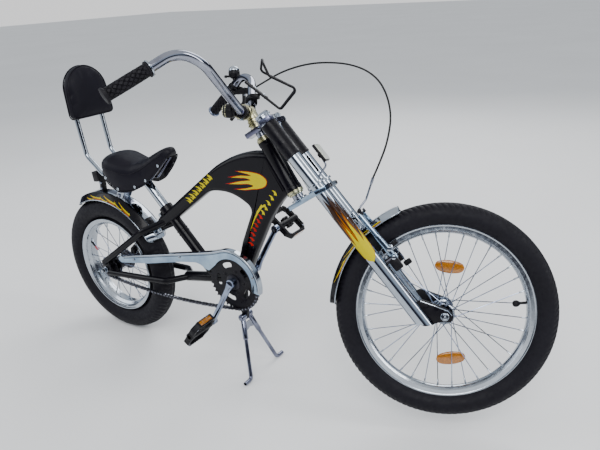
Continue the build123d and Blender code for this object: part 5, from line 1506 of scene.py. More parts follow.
G.put(*sweep(npth, 2.6, 16), 0)
nd = V(*NOOD[1]) - V(*NOOD[0])
nd = nd / np.linalg.norm(nd)
G.put(*lathe([(0.01, 0), (3.0, 0), (3.6, 0.6), (3.6, 13), (3.2, 14), (3.2, 16), (2.6, 17), (0.01, 17)], V(*NOOD[0]), nd, 24), 0)
# rubber boot over the bare cable between the arm tips
prof = [(0.01, 0), (3.0, 0)]
for k in range(7):
    prof += [(4.6, 1.0 + k * 3.4), (3.2, 2.7 + k * 3.4)]
prof += [(2.6, 25), (0.01, 25)]
G.put(*lathe(prof, V(858, 12, 524), V(0.02, -1, -0.05), 24), 1)
G.put(*rodm(V(858.4, -12, 523), V(860, -38, 519), 0.9, 8), 2)
G.out("noodle_pipe", "steering", [m_steel, m_plast, m_steel], True, 40, "brake_noodle", "chrome")

# ------------------------------------------------------------------ chain, chainring, sprocket
PITCH = 12.7
RPR, SPR = PITCH / (2 * math.sin(math.pi / 40)), PITCH / (2 * math.sin(math.pi / 16))
CY = -45.0


def chain_path():
    """pitch line of the chain, its lower run hanging, as a dense closed list of points"""
    dx, dz = 514.0, 293.0 - 224.4
    d = math.hypot(dx, dz)
    ba = math.atan2(dz, dx)
    th = math.asin((RPR - SPR) / d)
    up, lo = ba + math.pi / 2 + th, ba - math.pi / 2 - th
    c0, c1 = (0.0, 224.4), (514.0, 293.0)

    def pt(c, r, a):
        return (c[0] + r * math.cos(a), c[1] + r * math.sin(a))

    q1, q0 = pt(c1, RPR, lo), pt(c0, SPR, lo)
    mid = ((q0[0] + q1[0]) / 2 + 17 * math.cos(lo), (q0[1] + q1[1]) / 2 + 17 * math.sin(lo))
    P = [pt(c0, SPR, up)] + [pt(c1, RPR, up)] + arc3(pt(c1, RPR, up), pt(c1, RPR, ba), q1, 60)
    P += arc3(q1, mid, q0, 40)
    P += arc3(q0, pt(c0, SPR, ba + math.pi), pt(c0, SPR, up), 30)[:-1]
    return P


line = chain_path()
tot = sum(math.dist(a, b) for a, b in zip(line, line[1:] + line[:1]))
n_links = int(round(tot / PITCH))
n_links += n_links % 2
dots = resample(line, tot / (n_links + 0.0001), 0)
n_links = len(dots)
G = Geo()
for i in range(n_links):
    a, b = dots[i], dots[(i + 1) % n_links]
    e = (b - a) / np.linalg.norm(b - a)
    f = np.array([-e[1], e[0]])
    L = np.linalg.norm(b - a)
    inner = i % 2 == 0
    ys = 2.9 if inner else 4.15
    # figure-of-eight side plates
    ol = []
    nn = 5
    R, wst = 4.1, 2.7
    for k in range(nn + 1):
        t = math.radians(90 + 180 * k / nn)
        ol.append((R * math.cos(t), R * math.sin(t)))
    ol.append((L * 0.5, -wst))
    for k in range(nn + 1):
        t = math.radians(-90 + 180 * k / nn)
        ol.append((L + R * math.cos(t), R * math.sin(t)))
    ol.append((L * 0.5, wst))
    for sy in (-1, 1):
        y0 = CY + sy * ys - 0.55
        m = len(ol)
        vs = [(a[0] + e[0] * p + f[0] * q, y0 + h, a[1] + e[1] * p + f[1] * q) for h in (0, 1.1) for p, q in ol]
        fs = [tuple(range(m)), tuple(range(2 * m - 1, m - 1, -1))] + [(k, (k + 1) % m, m + (k + 1) % m, m + k) for k in range(m)]
        G.put(vs, fs, 0)
    # roller and pin end
    for rr, h0, h1, mid in ((3.85, -2.35, 2.35, 1), (1.9, -5.2, 5.2, 1)):
        nn2 = 8
        vs = [(a[0] + rr * math.cos(2 * math.pi * k / nn2), CY + h, a[1] + rr * math.sin(2 * math.pi * k / nn2)) for h in (h0, h1) for k in range(nn2)]
        fs = [tuple(range(nn2)), tuple(range(2 * nn2 - 1, nn2 - 1, -1))] + [(k, (k + 1) % nn2, nn2 + (k + 1) % nn2, nn2 + k) for k in range(nn2)]
        G.put(vs, fs, mid)
G.out("chain_links", "frame", [m_dark, m_steel], False, 40, "chain", "black_metal")


LIMS = {2: 15.5, 3: 18.4, 4: 19.2, 5: 19.0, 6: 18.0, 7: 14.6}


def toothed(teeth, hub, body, name, node, bore, y0, y1, slots, mat, slot):
    """toothed plate with curved windows, built as rings so that the windows are real holes"""
    pr = PITCH / (2 * math.sin(math.pi / teeth))
    bm = bmesh.new()
    per = 12
    n = teeth * per
    rings = [bore, bore + 2.5] + ([42.6, 44.2, 47.0, 50.0, 53.0, 55.8, 57.4, 66.0] if slots else [pr - 10]) + [pr - 7.0]
    cols = []
    for k in range(n):
        a = 2 * math.pi * k / n
        ph = (k % per) / per
        # rounded tooth: low in the roller seat, high between
        tooth = pr - 4.0 + 7.6 * max(0.0, 1 - abs(ph - 0.5) / 0.30) ** 0.75
        cols.append([bm.verts.new((hub[0] + r * math.cos(a), y0, hub[1] + r * math.sin(a))) for r in rings + [tooth]])
    sl = []
    for k in range(n):
        k2 = (k + 1) % n
        am = math.degrees(2 * math.pi * (k + 0.5) / n)
        for j in range(len(rings)):
            if slots and 2 <= j <= 7:
                hole = False
                for i in range(5):
                    da = (am - (i * 72 + 110) + 180) % 360 - 180
                    lim = LIMS[j]
                    if abs(da) < lim:
                        hole = True
                if hole:
                    continue
            bm.faces.new((cols[k][j], cols[k2][j], cols[k2][j + 1], cols[k][j + 1]))
    g_ = bmesh.ops.extrude_face_region(bm, geom=list(bm.faces))
    for q in g_["geom"]:
        if isinstance(q, bmesh.types.BMVert):
            q.co.y = y1
    bmesh.ops.recalc_face_normals(bm, faces=bm.faces)
    bm.verts.index_update()
    vs = [tuple(q.co) for q in bm.verts]
    fs = [tuple(q.index for q in f.verts) for f in bm.faces]
    bm.free()
    return vs, fs


G = Geo()
G.put(*toothed(40, (514.0, 293.0), "crankset", "ring", None, 22.1, CY - 1.6, CY + 1.6, True, None, None), 0)
for i in range(5):
    a = math.radians(i * 72 + 110 + 36)
    q = V(514 + 33 * math.cos(a), CY - 1.6, 293 + 33 * math.sin(a))
    G.put(*lathe([(0.01, 0), (4.6, 0), (4.6, 1.0), (3.2, 2.4), (0.01, 2.6)], q, V(0, -1, 0), 20), 1)
G.out("ring_toothed", "crankset", [m_satin, m_satin], False, 35, "chainring", "black_metal")
G = Geo()
G.put(*toothed(16, (0.0, 224.4), "rear_sprocket", "sprocket", None, 10.1, CY - 1.5, CY + 1.5, False, None, None), 0)
G.put(*lathe([(10.1, 1.4), (15.4, 1.4), (16, 2), (16, 7.2), (15.2, 8), (10.1, 8)], V(0, CY, 224.4), V(0, 1, 0), 40, True), 0)
G.out("sprocket_toothed", "rear_sprocket", m_satin, False, 35, "rear_sprocket", "black_metal")

# ------------------------------------------------------------------ chain guard
def gp(r, a):
    return (514 + r * math.cos(math.radians(a)), 293 + r * math.sin(math.radians(a)))


top = [(76, 283), (440, 369.3)] + arc3((440, 369.3), (468, 378), gp(96, 102), 8) + arc3(gp(96, 102), gp(96, 50), gp(93, -9), 36)
bot = [gp(68, -9)] + arc3(gp(68, -9), gp(71, 50), gp(67, 140), 36) + [(437, 314), (424, 316.5)] + arc3((424, 316.5), (408, 325.5), (386, 328), 8) \
    + [(334, 318.5), (193, 283), (72, 261)] + arc3((72, 261), (62, 271), (76, 283), 8)[:-1]
poly = resample(top + bot, 3.0, 1)
G = Geo()
G.put(*prism([tuple(q) for q in poly], -55.0, -53.6, lambda a, b, h: (a, h, b), 0.5, 2), 0)
# rolled, polished top edge; under it a dark rod of painted shade standing for the groove
tp = resample(top, 5.0, 2, closed=False)
T_ = np.gradient(tp, axis=0)
T_ /= np.linalg.norm(T_, axis=1)[:, None]
Nn = np.stack([T_[:, 1], -T_[:, 0]], 1)          # towards the inside of the plate
edge = [V(p[0] + n_[0] * 2.6, -54.4, p[1] + n_[1] * 2.6) for p, n_ in zip(tp, Nn)]
sec = []
for k in range(20):
    t = 2 * math.pi * k / 20
    sec.append((math.cos(t), math.sin(t)))
G.put(*sweep(edge[1:-1], 2.9, section=sec), 1)
lipv, lipf = [], []
for i, (p, n_) in enumerate(zip(tp, Nn)):
    for dy, dn in ((-54.0, 0.2), (-50.0, -0.1), (-40.6, 0.0), (-40.6, 1.5), (-50.0, 1.5), (-54.0, 1.6)):
        lipv.append((p[0] + n_[0] * dn, dy, p[1] + n_[1] * dn))
for i in range(len(tp) - 1):
    for k in range(6):
        k2 = (k + 1) % 6
        lipf.append((i * 6 + k, i * 6 + k2, (i + 1) * 6 + k2, (i + 1) * 6 + k))
lipf += [tuple(range(6)), tuple((len(tp) - 1) * 6 + k for k in reversed(range(6)))]
G.put(lipv, lipf, 1)
# dark strip under the lip: painted shade in the crease
painted_groove_shade = [V(p[0] + n_[0] * 7.4, -55.15, p[1] + n_[1] * 7.4) for p, n_ in zip(tp[2:-2], Nn[2:-2])]
G.put(*sweep(painted_groove_shade, 0.9, section=[(math.cos(2 * math.pi * k / 10), math.sin(2 * math.pi * k / 10)) for k in range(10)]), 2)
for q in ((133, 283), (330, 332), gp(82, 24)):
    G.put(*lathe([(0.01, 0), (4.4, 0), (4.2, 1.2), (2.6, 2.3), (0.01, 2.5)], V(q[0], -55.0, q[1]), V(0, -1, 0), 24), 1)
    # dark bar across each screw head: painted shade standing for the screw slot
    G.put(*boxm(V(q[0], -57.5, q[1]), (3.2, 0.25, 0.5), None, 0.1, 1), 2)
G.put(*rodm((133, -53.6, 283), (133, -50, 283), 6.0, 24), 1)
G.out("guard_plate", "frame", [m_chrome_blue, m_chrome, m_dark], False, 30, "chainguard", "chrome")

# ------------------------------------------------------------------ cranks
cR, cL = V(453, 0, 173.5), V(575, 0, 412.5)
G = Geo()
G.put(*lathe([(0.01, -52), (8.4, -52), (9, -51.4), (9, 51.4), (8.4, 52), (0.01, 52)], BB, V(0, 1, 0), 32), 0)
G.put(*lathe([(9, -49), (20.6, -49), (21.8, -48.2), (21.8, -46.7), (9, -46.7)], BB, V(0, 1, 0), 48, True), 1)
G.put(*lathe([(9, -43.2), (24.4, -43.2), (24.4, -39.8), (9, -39.8)], BB, V(0, 1, 0), 48, True), 1)
for c, sy in ((cR, -1), (cL, 1)):
    G.put(*lathe([(8.8, 46.5), (12.4, 46.5), (13.2, 47.3), (13.4, 60), (12.4, 62.2), (9.6, 63), (8.8, 63)], BB, V(0, sy, 0), 40, True), 0)
    G.put(*lathe([(0.01, 61.0), (8.6, 61.0), (8.9, 61.6), (8.6, 62.4), (6.2, 62.6), (0.01, 62.6)], BB, V(0, sy, 0), 32), 2)
    p0, p1 = V(514, sy * 59, 293), V(c[0], sy * 79, c[2])
    d_ = (p1 - p0) / np.linalg.norm(p1 - p0)
    # tapered arm with a flattened oval section, swelling at both ends
    n = 26
    Ls = float(np.linalg.norm(p1 - p0))
    out_ = np.cross(d_, np.cross(V(0, sy, 0), d_))
    out_ /= np.linalg.norm(out_)
    wid = np.cross(d_, out_)
    vs, fs = [], []
    m = 28
    for i in range(n + 1):
        f = i / n
        w_ = 8.6 + 3.6 * math.exp(-(f / 0.10) ** 2) + 2.0 * math.exp(-((1 - f) / 0.08) ** 2) - 1.5 * f
        h_ = 5.8 + 2.6 * math.exp(-(f / 0.09) ** 2) + 1.0 * math.exp(-((1 - f) / 0.08) ** 2) - 0.6 * f
        for k in range(m):
            t = 2 * math.pi * k / m
            ca, sa = math.cos(t), math.sin(t)
            vs.append(p0 + d_ * (Ls * f) + wid * w_ * math.copysign(abs(ca) ** 0.75, ca) + out_ * h_ * math.copysign(abs(sa) ** 0.75, sa))
    for i in range(n):
        for k in range(m):
            k2 = (k + 1) % m
            fs.append((i * m + k, i * m + k2, (i + 1) * m + k2, (i + 1) * m + k))
    fs += [tuple(range(m)), tuple(n * m + k for k in reversed(range(m)))]
    G.put(vs, fs, 0)
    G.put(*lathe([(6.4, -8.6), (10.0, -8.6), (11.0, -7.6), (11.0, 3.8), (10, 4.8), (6.4, 4.8)], p1, V(0, sy, 0), 36, True), 0)
G.out("crank_arms", "crankset", [m_crank, m_dark, m_dark], False, 38, "crank", "chrome")


# ------------------------------------------------------------------ pedals
def pedal(sy, c, tilt, node, body):
    G = Geo()
    ct, st_ = math.cos(math.radians(tilt)), math.sin(math.radians(tilt))
    ex, ey, ez = V(ct, 0, st_), V(0, sy, 0), V(-st_, 0, ct)

    def W(a, b, h):
        return c + ex * a + ey * b + ez * h

    y0, y1 = 92.0, 176.0
    G.put(*sweep([W(0, 70, 0), W(0, 84.4, 0)], 6.2, 24), 1)
    G.put(*hexnut(W(0, 84.6, 0), W(0, 90.5, 0), 15.0, 0.8), 1)
    G.put(*lathe([(0.01, 90), (8.6, 90), (10.4, 92), (10.8, 96), (9.6, 110), (9.4, 160), (10.8, 172), (10.4, 175.2), (8, 176), (0.01, 176)], c, ey, 32), 0)
    G.put(*lathe([(0.01, 174.6), (7.4, 174.6), (7.4, 175.6), (6.4, 176.0), (0.01, 176.0)], c, ey, 24), 1)
    def edge_bar(p_, q_, hw, hh, mid=0):
        a_, b_ = W(p_[0], p_[1], 0), W(q_[0], q_[1], 0)
        L_ = float(np.linalg.norm(b_ - a_))
        d_ = (b_ - a_) / L_
        G.put(*boxm((a_ + b_) / 2, (L_ / 2 + hw * 0.6, hw, hh), (d_, np.cross(ez, d_), ez), min(1.5, hw * 0.6), 3), mid)

    # open eight-sided cage: long rails with treads, cut corners, slotted end bars
    for sx in (-1, 1):
        edge_bar((sx * 42.2, 107.5), (sx * 42.2, 160.5), 3.6, 9.2)
        for k in range(6):
            G.put(*boxm(W(sx * 41.6, 111.5 + k * 9.0, 0), (4.4, 1.5, 10.0), (ex, ey, ez), 0.7, 1), 0)
        # amber reflector let into each long rail
        G.put(*boxm(W(sx * 45.4, 134, 0), (0.7, 21.0, 6.2), (ex, ey, ez), 0.5, 2), 2)
        for yb, yi, sgn in ((95.0, 101.6, 1), (173.0, 166.4, -1)):
            edge_bar((sx * 41.6, 134 - sgn * 27.0), (sx * 27.0, yb), 3.3, 8.6)
            edge_bar((sx * 27.0, yb), (sx * 9.0, yb), 1.7, 8.6)
            edge_bar((sx * 28.5, yi), (sx * 9.0, yi), 1.6, 7.6)
            edge_bar((sx * 27.5, yb), (sx * 28.5, yi), 2.2, 7.8)
            edge_bar((sx * 15.5, yb), (sx * 15.5, yi), 1.8, 7.8)
            for hs in (-1, 1):
                G.put(*lathe([(0.01, 0), (2.6, 0), (2.4, 0.5), (1.4, 0.8), (0.01, 0.9)], W(sx * 34, 134 - sgn * 32.4, hs * 8.4), ez * hs, 16), 1)
        # short webs from the barrel to the rails
        for yb in (126.0, 142.0):
            edge_bar((sx * 8.0, yb), (sx * 15.0, yb + (4 if yb < 134 else -4)), 2.4, 6.0)
        edge_bar((sx * 13.0, 122.0), (sx * 13.0, 146.0), 2.4, 5.6)
    for yb in (98.3, 169.7):
        G.put(*boxm(W(0, yb, 0), (11.0, 4.8, 9.0), (ex, ey, ez), 1.8, 3), 0)
    return G.out(node + "_cage", body, [m_plast, m_steel, m_amber], False, 38, node, "black_plastic")


pedal(-1, cR, 55, "pedal_right", "pedal_right")
pedal(1, cL, 140, "pedal_left", "pedal_left")

# ------------------------------------------------------------------ centre stand
G = Geo()
PV = V(505, 0, 165)
G.put(*sweep([PV - V(0, 24, 0), PV + V(0, 24, 0)], 5.0, 28), 0)


def on_leg(f, y):
    return V(505 + 51 * f, y, 165 - 159.4 * f)


for sy in (-1, 1):
    G.put(*lathe([(0.01, 5.7), (9.2, 5.7), (10, 6.5), (10, 21), (9, 22), (0.01, 22)], PV, V(0, sy, 0), 40), 1)
    G.put(*hexnut(PV + V(0, sy * 20.5, 0), PV + V(0, sy * 25, 0), 12, 0.9), 0)
    tp_, kn, ti = PV + V(0, sy * 13, 0), V(556, sy * 62, 5.6), V(556, sy * 90, 5.6)
    path = arc_path([tp_, kn, ti], [12], 2.5)
    G.put(*sweep(path, 5.5, 26), 0)
    dd = (kn - tp_) / np.linalg.norm(kn - tp_)
    L2 = float(np.linalg.norm(kn - tp_))
    G.put(*lathe([(5.5, 0), (6.9, 0), (7.4, 0.8), (7.4, L2 * 0.33), (7.0, L2 * 0.345), (6.2, L2 * 0.355), (5.5, L2 * 0.355)], tp_ + dd * 2, dd, 40, True), 1)
    G.put(*lathe([(0.01, 0), (5.0, 0), (5.5, 0.6), (0.01, 0.8)], ti, V(0, -sy, 0), 24), 0)
# gusset plate between the legs
gn_ = V(0.952, 0, 0.307)
gs = [(0.11, -16.5), (0.11, 16.5), (0.25, 23.0), (0.235, 10), (0.215, 0), (0.235, -10), (0.25, -23.0)]
G.put(*prism(gs, -1.4, 1.4, lambda a, b, h: on_leg(a, b) + gn_ * h, 0.0), 2)
for vv in range(len(G.v)):
    q = G.v[vv]
    if q[2] < 0.02:
        G.v[vv] = (q[0], q[1], 0.02)
G.out("stand_legs", "centre_stand", [m_stand, m_stand, m_steel], False, 38, "centre_stand", "chrome")
refine("stand_bracket", m_satin, 1.6, 3)

# ------------------------------------------------------------------ backrest bar, saddle hardware
G = Geo()
path = arc_path([(118, -33, 519), (46, -44, 541), (-12, -45, 590), (-40, -45, 792), (-44, -20, 822), (-44, 20, 822), (-40, 45, 792),
                 (-12, 45, 590), (46, 44, 541), (118, 33, 519)], [30, 30, 14, 14, 14, 14, 30, 30], 3.5)
G.put(*sweep(path, 7.0, 26), 0)
G.put(*sweep([(118, -34, 519), (118, 34, 519)], 6.9, 24), 0)
for sy in (-1, 1):
    q = V(88, sy * 37.6, 528)
    G.put(*rodm(q + V(0, sy * 6, 0), q + V(0, sy * 9.6, 0), 5.4, 20), 0)
    G.put(*hexnut(q + V(0, sy * 9, 0), q + V(0, sy * 13.5, 0), 10, 0.8), 0)
G.out("backrest_tube", "frame", m_chrome, False, 40, "backrest_bar", "chrome")

G = Geo()
hp = POST_TOP + V(0, 0, 4)
G.put(*lathe([(0.01, -24), (13.6, -24), (15, -22.8), (15, 22.8), (13.6, 24), (0.01, 24)], hp, V(0, 1, 0), 36), 1)
for sy in (-1, 1):
    G.put(*sweep(arc_path([(96, sy * 42, 566), (112, sy * 24, 534), (214, sy * 15, 534), (284, sy * 8, 604)], [10, 22], 3), 3.5, 18), 0)
    G.put(*hexnut(hp + V(0, sy * 23.5, 0), hp + V(0, sy * 30, 0), 14, 1.0), 0)
    # coil spring at each rear corner
    coil = []
    for k in range(0, 24 * 5 + 1):
        t = 2 * math.pi * k / 24
        coil.append((100 + 9 * math.cos(t), sy * 40 + 9 * math.sin(t), 548 + 17.0 * k / 120))
    G.put(*sweep(coil, 1.7, 8), 0)
G.out("saddle_hardware", "frame", [m_stand, m_dark], False, 40, "saddle_rails", "chrome")

G = Geo()
for sy in (-1, 1):
    pts = resample([(53, 461.4), (66, 458.3), (78, 454.6), (108, 500), (111, 508), (111, 526), (92, 530), (80, 505)], 2.5, 3)
    G.put(*prism([tuple(q) for q in pts], sy * 16 - 1.8, sy * 16 + 1.8, lambda a, b, h: (a, h, b), 0.7, 2), 0)
    for q in ((69, 468), (98, 515)):
        G.put(*hexnut((q[0], sy * 17.6, q[1]), (q[0], sy * 22.2, q[1]), 11, 0.9), 1)
        G.put(*lathe([(3, 0), (7.2, 0), (7.2, 1), (3, 1)], (q[0], sy * 17.6, q[1]), V(0, sy, 0), 24, True), 1)
G.out("guard_ties", "frame", [m_chrome, m_steel], False, 38, "guard_brackets", "chrome")

# rear reflector block behind the saddle
G = Geo()
t8 = math.radians(8)
ex, ez = V(math.cos(t8), 0, math.sin(t8)), V(-math.sin(t8), 0, math.cos(t8))
ex, ez = V(math.cos(t8), 0, math.sin(t8) * 1), V(-math.sin(t8), 0, math.cos(t8))
cc = V(-23, 0, 516)
G.put(*boxm(cc, (12.6, 22.8, 15.8), (ex, V(0, 1, 0), ez), 2.4, 3), 0)
G.put(*boxm(cc - ex * 12.2, (0.7, 19.5, 12.6), (ex, V(0, 1, 0), ez), 0.6, 2), 1)
G.put(*prism([(-27.3, 465.4), (-15.3, 465.4), (-14, 506), (-26, 506)], -8.6, 8.6, lambda a, b, h: (a, h, b), 1.2, 2), 0)
for z_ in (476, 494):
    G.put(*hexnut((-20.5 + (z_ - 456) * 0.05, -8.6, z_), (-20.5 + (z_ - 456) * 0.05, -12.6, z_), 9, 0.8), 2)
G.out("rear_reflector_block", "frame", [m_plast, m_redlens, m_steel], False, 38, "rear_reflector", "black_plastic")


# ------------------------------------------------------------------ saddle and backrest pad
def cloth_puff(obj, cap, pressure, pins=None, frames=20):
    """let the skin swell a little under pressure; vertices stay within cap of where they were"""
    me = obj.data
    base = np.array([q.co for q in me.vertices])
    md = obj.modifiers.new("puff", "CLOTH")
    st = md.settings
    st.quality = 5
    st.mass = 0.2
    st.tension_stiffness = 28
    st.compression_stiffness = 28
    st.bending_stiffness = 3
    st.use_pressure = True
    st.uniform_pressure_force = pressure
    st.effector_weights.gravity = 0
    if pins is not None:
        vg = obj.vertex_groups.new(name="pin")
        vg.add([int(i) for i in pins], 1.0, "REPLACE")
        st.vertex_group_mass = "pin"
    md.point_cache.frame_start = 1
    md.point_cache.frame_end = frames
    sc = bpy.context.scene
    for f in range(1, frames + 1):
        sc.frame_set(f)
    dg = bpy.context.evaluated_depsgraph_get()
    ev = obj.evaluated_get(dg)
    new = np.array([q.co for q in ev.data.vertices])
    obj.modifiers.clear()
    d = new - base
    L = np.linalg.norm(d, axis=1)
    k = np.minimum(1.0, cap / np.maximum(L, 1e-9))
    base = base + d * k[:, None]
    me.vertices.foreach_set("co", base.ravel())
    me.update()
    sc.frame_set(1)


def soft_body(name, vs, fs, voxel, pressure, cap, node, pin_test, inset=1.2):
    """closed cushion: quad skin, swollen under pressure, smoothed once"""
    me = bpy.data.meshes.new(name)
    me.from_pydata([tuple(map(float, q)) for q in vs], [], [tuple(map(int, f)) for f in fs])
    me.transform(M_ROW)
    o = bpy.data.objects.new(name, me)
    bpy.context.scene.collection.objects.link(o)
    bm = bmesh.new()
    bm.from_mesh(me)
    bmesh.ops.recalc_face_normals(bm, faces=bm.faces)
    bm.to_mesh(me)
    bm.free()
    md = o.modifiers.new("r", "REMESH")
    md.mode = "VOXEL"
    md.voxel_size = voxel / 1000
    md2 = o.modifiers.new("s", "SMOOTH")
    md2.factor = 0.5
    md2.iterations = 6
    dg = bpy.context.evaluated_depsgraph_get()
    new = bpy.data.meshes.new_from_object(o.evaluated_get(dg))
    o.modifiers.clear()
    o.data = new
    inv = M_ROW.inverted()
    co = [inv @ q.co for q in new.vertices]
    pins = [i for i, q in enumerate(co) if pin_test(q)]
    cloth_puff(o, cap / 1000, pressure, pins)
    sd_ = o.modifiers.new("sub", "SUBSURF")
    sd_.levels = 1
    sd_.render_levels = 1
    dg = bpy.context.evaluated_depsgraph_get()
    new = bpy.data.meshes.new_from_object(o.evaluated_get(dg))
    o.modifiers.clear()
    o.data = new
    o.data.materials.clear()
    o.data.materials.append(m_vinyl)
    o.data.polygons.foreach_set("use_smooth", [True] * len(o.data.polygons))
    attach(o, "frame")
    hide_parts(node)
    return o


# saddle stations, square to its curved spine: top x, z, between the hems x, z, half width
SAD = [(51, 589, 56, 574, 40), (57, 595, 59, 562, 54), (66, 599, 64, 550, 62), (90, 601, 88, 520, 68), (128, 591, 130, 498, 66), (168, 581.5, 170, 503, 57),
       (205, 592, 217, 525, 44), (240, 611, 257, 560, 35), (272, 628, 290, 596, 28), (288, 634.5, 301, 614, 20), (296, 634, 306, 621, 11)]
tab = np.array(SAD, float)
seg_ = np.r_[0, np.cumsum(np.hypot(np.diff(tab[:, 0] + tab[:, 2]), np.diff(tab[:, 1] + tab[:, 3])) / 2)]
tt = np.linspace(0, seg_[-1], 60)
dense = np.stack([np.interp(tt, seg_, tab[:, j]) for j in range(5)], 1)
for _ in range(4):
    dense[1:-1] = 0.5 * dense[1:-1] + 0.25 * (dense[:-2] + dense[2:])


def sad_frame(r):
    T, B = V(r[0], 0, r[1]), V(r[2], 0, r[3])
    d = float(np.linalg.norm(T - B))
    return T, B, (T - B) / d, d


def sad_ring(r, wall, drop):
    """section from hem over the crown to the other hem; wall and drop set the inner skin in"""
    T, B, up, d = sad_frame(r)
    w, dep = r[4] - wall, d - drop
    side = max(dep * 0.25, dep - 0.46 * w)
    n = 10
    pts = [(-w * 0.95, 0.0), (-w * 0.995, side * 0.5)]
    for k in range(2 * n + 1):
        a = math.pi * (1 - k / (2 * n))
        ca, sa = math.cos(a), math.sin(a)
        pts.append((w * math.copysign(abs(ca) ** 0.82, ca), side + (dep - side) * abs(sa) ** 0.86))
    pts += [(w * 0.995, side * 0.5), (w * 0.95, 0.0)]
    return [B + up * h + V(0, y, 0) for y, h in pts]


vs, fs, rings = [], [], []
for i, r in enumerate(dense):
    T, B, up, d = sad_frame(r)
    closed_ = i < 3 or i > len(dense) - 5
    wall = r[4] - 0.6 if closed_ else min(7.0, 0.3 * r[4])
    drop = d - 0.6 if closed_ else min(22.0, 0.52 * d)
    rings.append(sad_ring(r, 0, 0) + list(reversed(sad_ring(r, wall, drop))))
m = len(rings[0])
for r in rings:
    vs += r
for i in range(len(rings) - 1):
    for k in range(m):
        k2 = (k + 1) % m
        fs.append((i * m + k, i * m + k2, (i + 1) * m + k2, (i + 1) * m + k))
h = m // 2
# close front and back between the two skins
for base_, rev in ((0, False), ((len(rings) - 1) * m, True)):
    for k in range(h - 1):
        q = (base_ + k, base_ + k + 1, base_ + m - 2 - k, base_ + m - 1 - k)
        fs.append(tuple(reversed(q)) if rev else q)


def hem_height(q):
    """height over the hem line at the nearest station"""
    best, out_ = 1e9, 0.0
    for r in dense[::2]:
        T, B, up, d = sad_frame(r)
        rel = V(q[0], 0, q[2]) - B
        off = abs(rel[0] * up[2] - rel[2] * up[0])
        if off < best:
            best, out_ = off, float(np.dot(rel, up))
    return out_


saddle = soft_body("saddle_skin", vs, fs, 4.2, 3.0, 1.6, "saddle", lambda q: hem_height(q) < 10)

# rolled hem, seam and rivets of the saddle
G = Geo()
for sy in (-1, 1):
    hem, seam = [], []
    for r in dense[2:-3]:
        T, B, up, d = sad_frame(r)
        hem.append(B + up * 1.6 + V(0, sy * (r[4] * 0.95 + 0.2), 0))
        seam.append(B + up * max(d * 0.25, d - 0.46 * r[4] - 1.5) + V(0, sy * r[4] * 0.992, 0))
    G.put(*sweep(hem, 2.0, 10), 0)
    G.put(*sweep(seam[2:-2], 1.0, 8), 0)
    for bx in (59, 80, 127, 184, 226, 272):
        r = dense[int(np.argmin(np.abs(dense[:, 2] - bx)))]
        T, B, up, d = sad_frame(r)
        q = B + up * 9.0 + V(0, sy * (r[4] * 0.972 + 0.3), 0)
        G.put(*lathe([(0.01, -1), (4.8, -1), (4.8, 0.2), (4.2, 1.2), (2.4, 2.0), (0.01, 2.2)], q, V(0, sy, 0), 24), 1)
G.out("saddle_trim", "frame", [m_vinyl, m_chrome], False, 50, None, "vinyl")

# brown pan and a stiffening channel seen under the nose
G = Geo()
vs, fs = [], []
pan = [r for r in dense[7:-8:3]]
for r in pan:
    T, B, up, d = sad_frame(r)
    c_ = T - up * min(25.0, 0.62 * d)
    for k in range(9):
        u = -1 + k / 4
        vs.append(c_ + V(0, (r[4] - 7.5) * u, 0) - up * (5 * u * u))
for i in range(len(pan) - 1):
    for k in range(8):
        fs.append((i * 9 + k, i * 9 + k + 1, (i + 1) * 9 + k + 1, (i + 1) * 9 + k))
nv = len(vs)
vs += [q - V(0, 0, 1.6) for q in vs]
fs += [tuple(i + nv for i in reversed(f)) for f in fs]
G.put(vs, fs, 0)
# stiffening channel between the rails
G.put(*sweep([V(226, 0, 552), V(252, 0, 578), V(280, 0, 607)], [7.0, 6.0, 5.0], section=[(math.cos(t), 0.55 * math.sin(t)) for t in np.linspace(0, 2 * math.pi, 18, endpoint=False)]), 0)
G.out("saddle_pan", "frame", [m_pan, m_steel], False, 50, None, "chrome")

# backrest pad
po = V(-20, 0, 697)
pn = V(0.990, 0, 0.139)
pu = V(-0.139, 0, 0.990)


def pad_outline():
    pts = outline((-60, 0), (60, 0), (70, 5, 73, 16), (69, 88), (62.8, 109.5, 48.5, 129.0), (27, 143.6, 0, 150), (-27, 143.6, -48.5, 129.0), (-62.8, 109.5, -69, 88), (-73, 16), (-70, 5, -60, 0))
    return resample(pts, 4.0, 3)


PO = pad_outline()
cen = PO.mean(0)
vs, fs = [], []
lay = []
for hgt, shr in ((0.5, 5.0), (1.6, 2.2), (5.0, 0.8), (12.5, 0.6), (19.0, 1.8), (22.6, 4.6), (24.4, 9.5), (25.2, 18.0), (25.7, 32.0)):
    ring = []
    T_ = np.roll(PO, -1, 0) - np.roll(PO, 1, 0)
    T_ /= np.linalg.norm(T_, axis=1)[:, None]
    N_ = np.stack([-T_[:, 1], T_[:, 0]], 1)
    sgn = 1 if np.dot(N_[0], cen - PO[0]) > 0 else -1
    for p, n_ in zip(PO, N_):
        q = p + n_ * sgn * shr
        ring.append(po + V(0, 1, 0) * q[0] + pu * q[1] + pn * hgt)
    lay.append(ring)
m = len(PO)
for r in lay:
    vs += r
for i in range(len(lay) - 1):
    for k in range(m):
        k2 = (k + 1) % m
        fs.append((i * m + k, i * m + k2, (i + 1) * m + k2, (i + 1) * m + k))
fs.append(tuple(reversed(range(m))))
fs.append(tuple((len(lay) - 1) * m + k for k in range(m)))
pad = soft_body("backrest_cushion", vs, fs, 4.2, 4.0, 2.4, "backrest_pad",
                lambda q: np.dot(np.array(q) - po, pn) < 3.0)
G = Geo()
for hgt, shr, rr in ((20.6, 3.0, 1.7), (2.2, 1.6, 1.7)):
    ring = []
    for p, n_ in zip(PO, N_):
        q = p + n_ * sgn * shr
        ring.append(po + V(0, 1, 0) * q[0] + pu * q[1] + pn * hgt)
    G.put(*sweep(ring, rr, 10, closed=True), 0)
G.out("pad_piping", "frame", m_vinyl, False, 60, None, "vinyl")
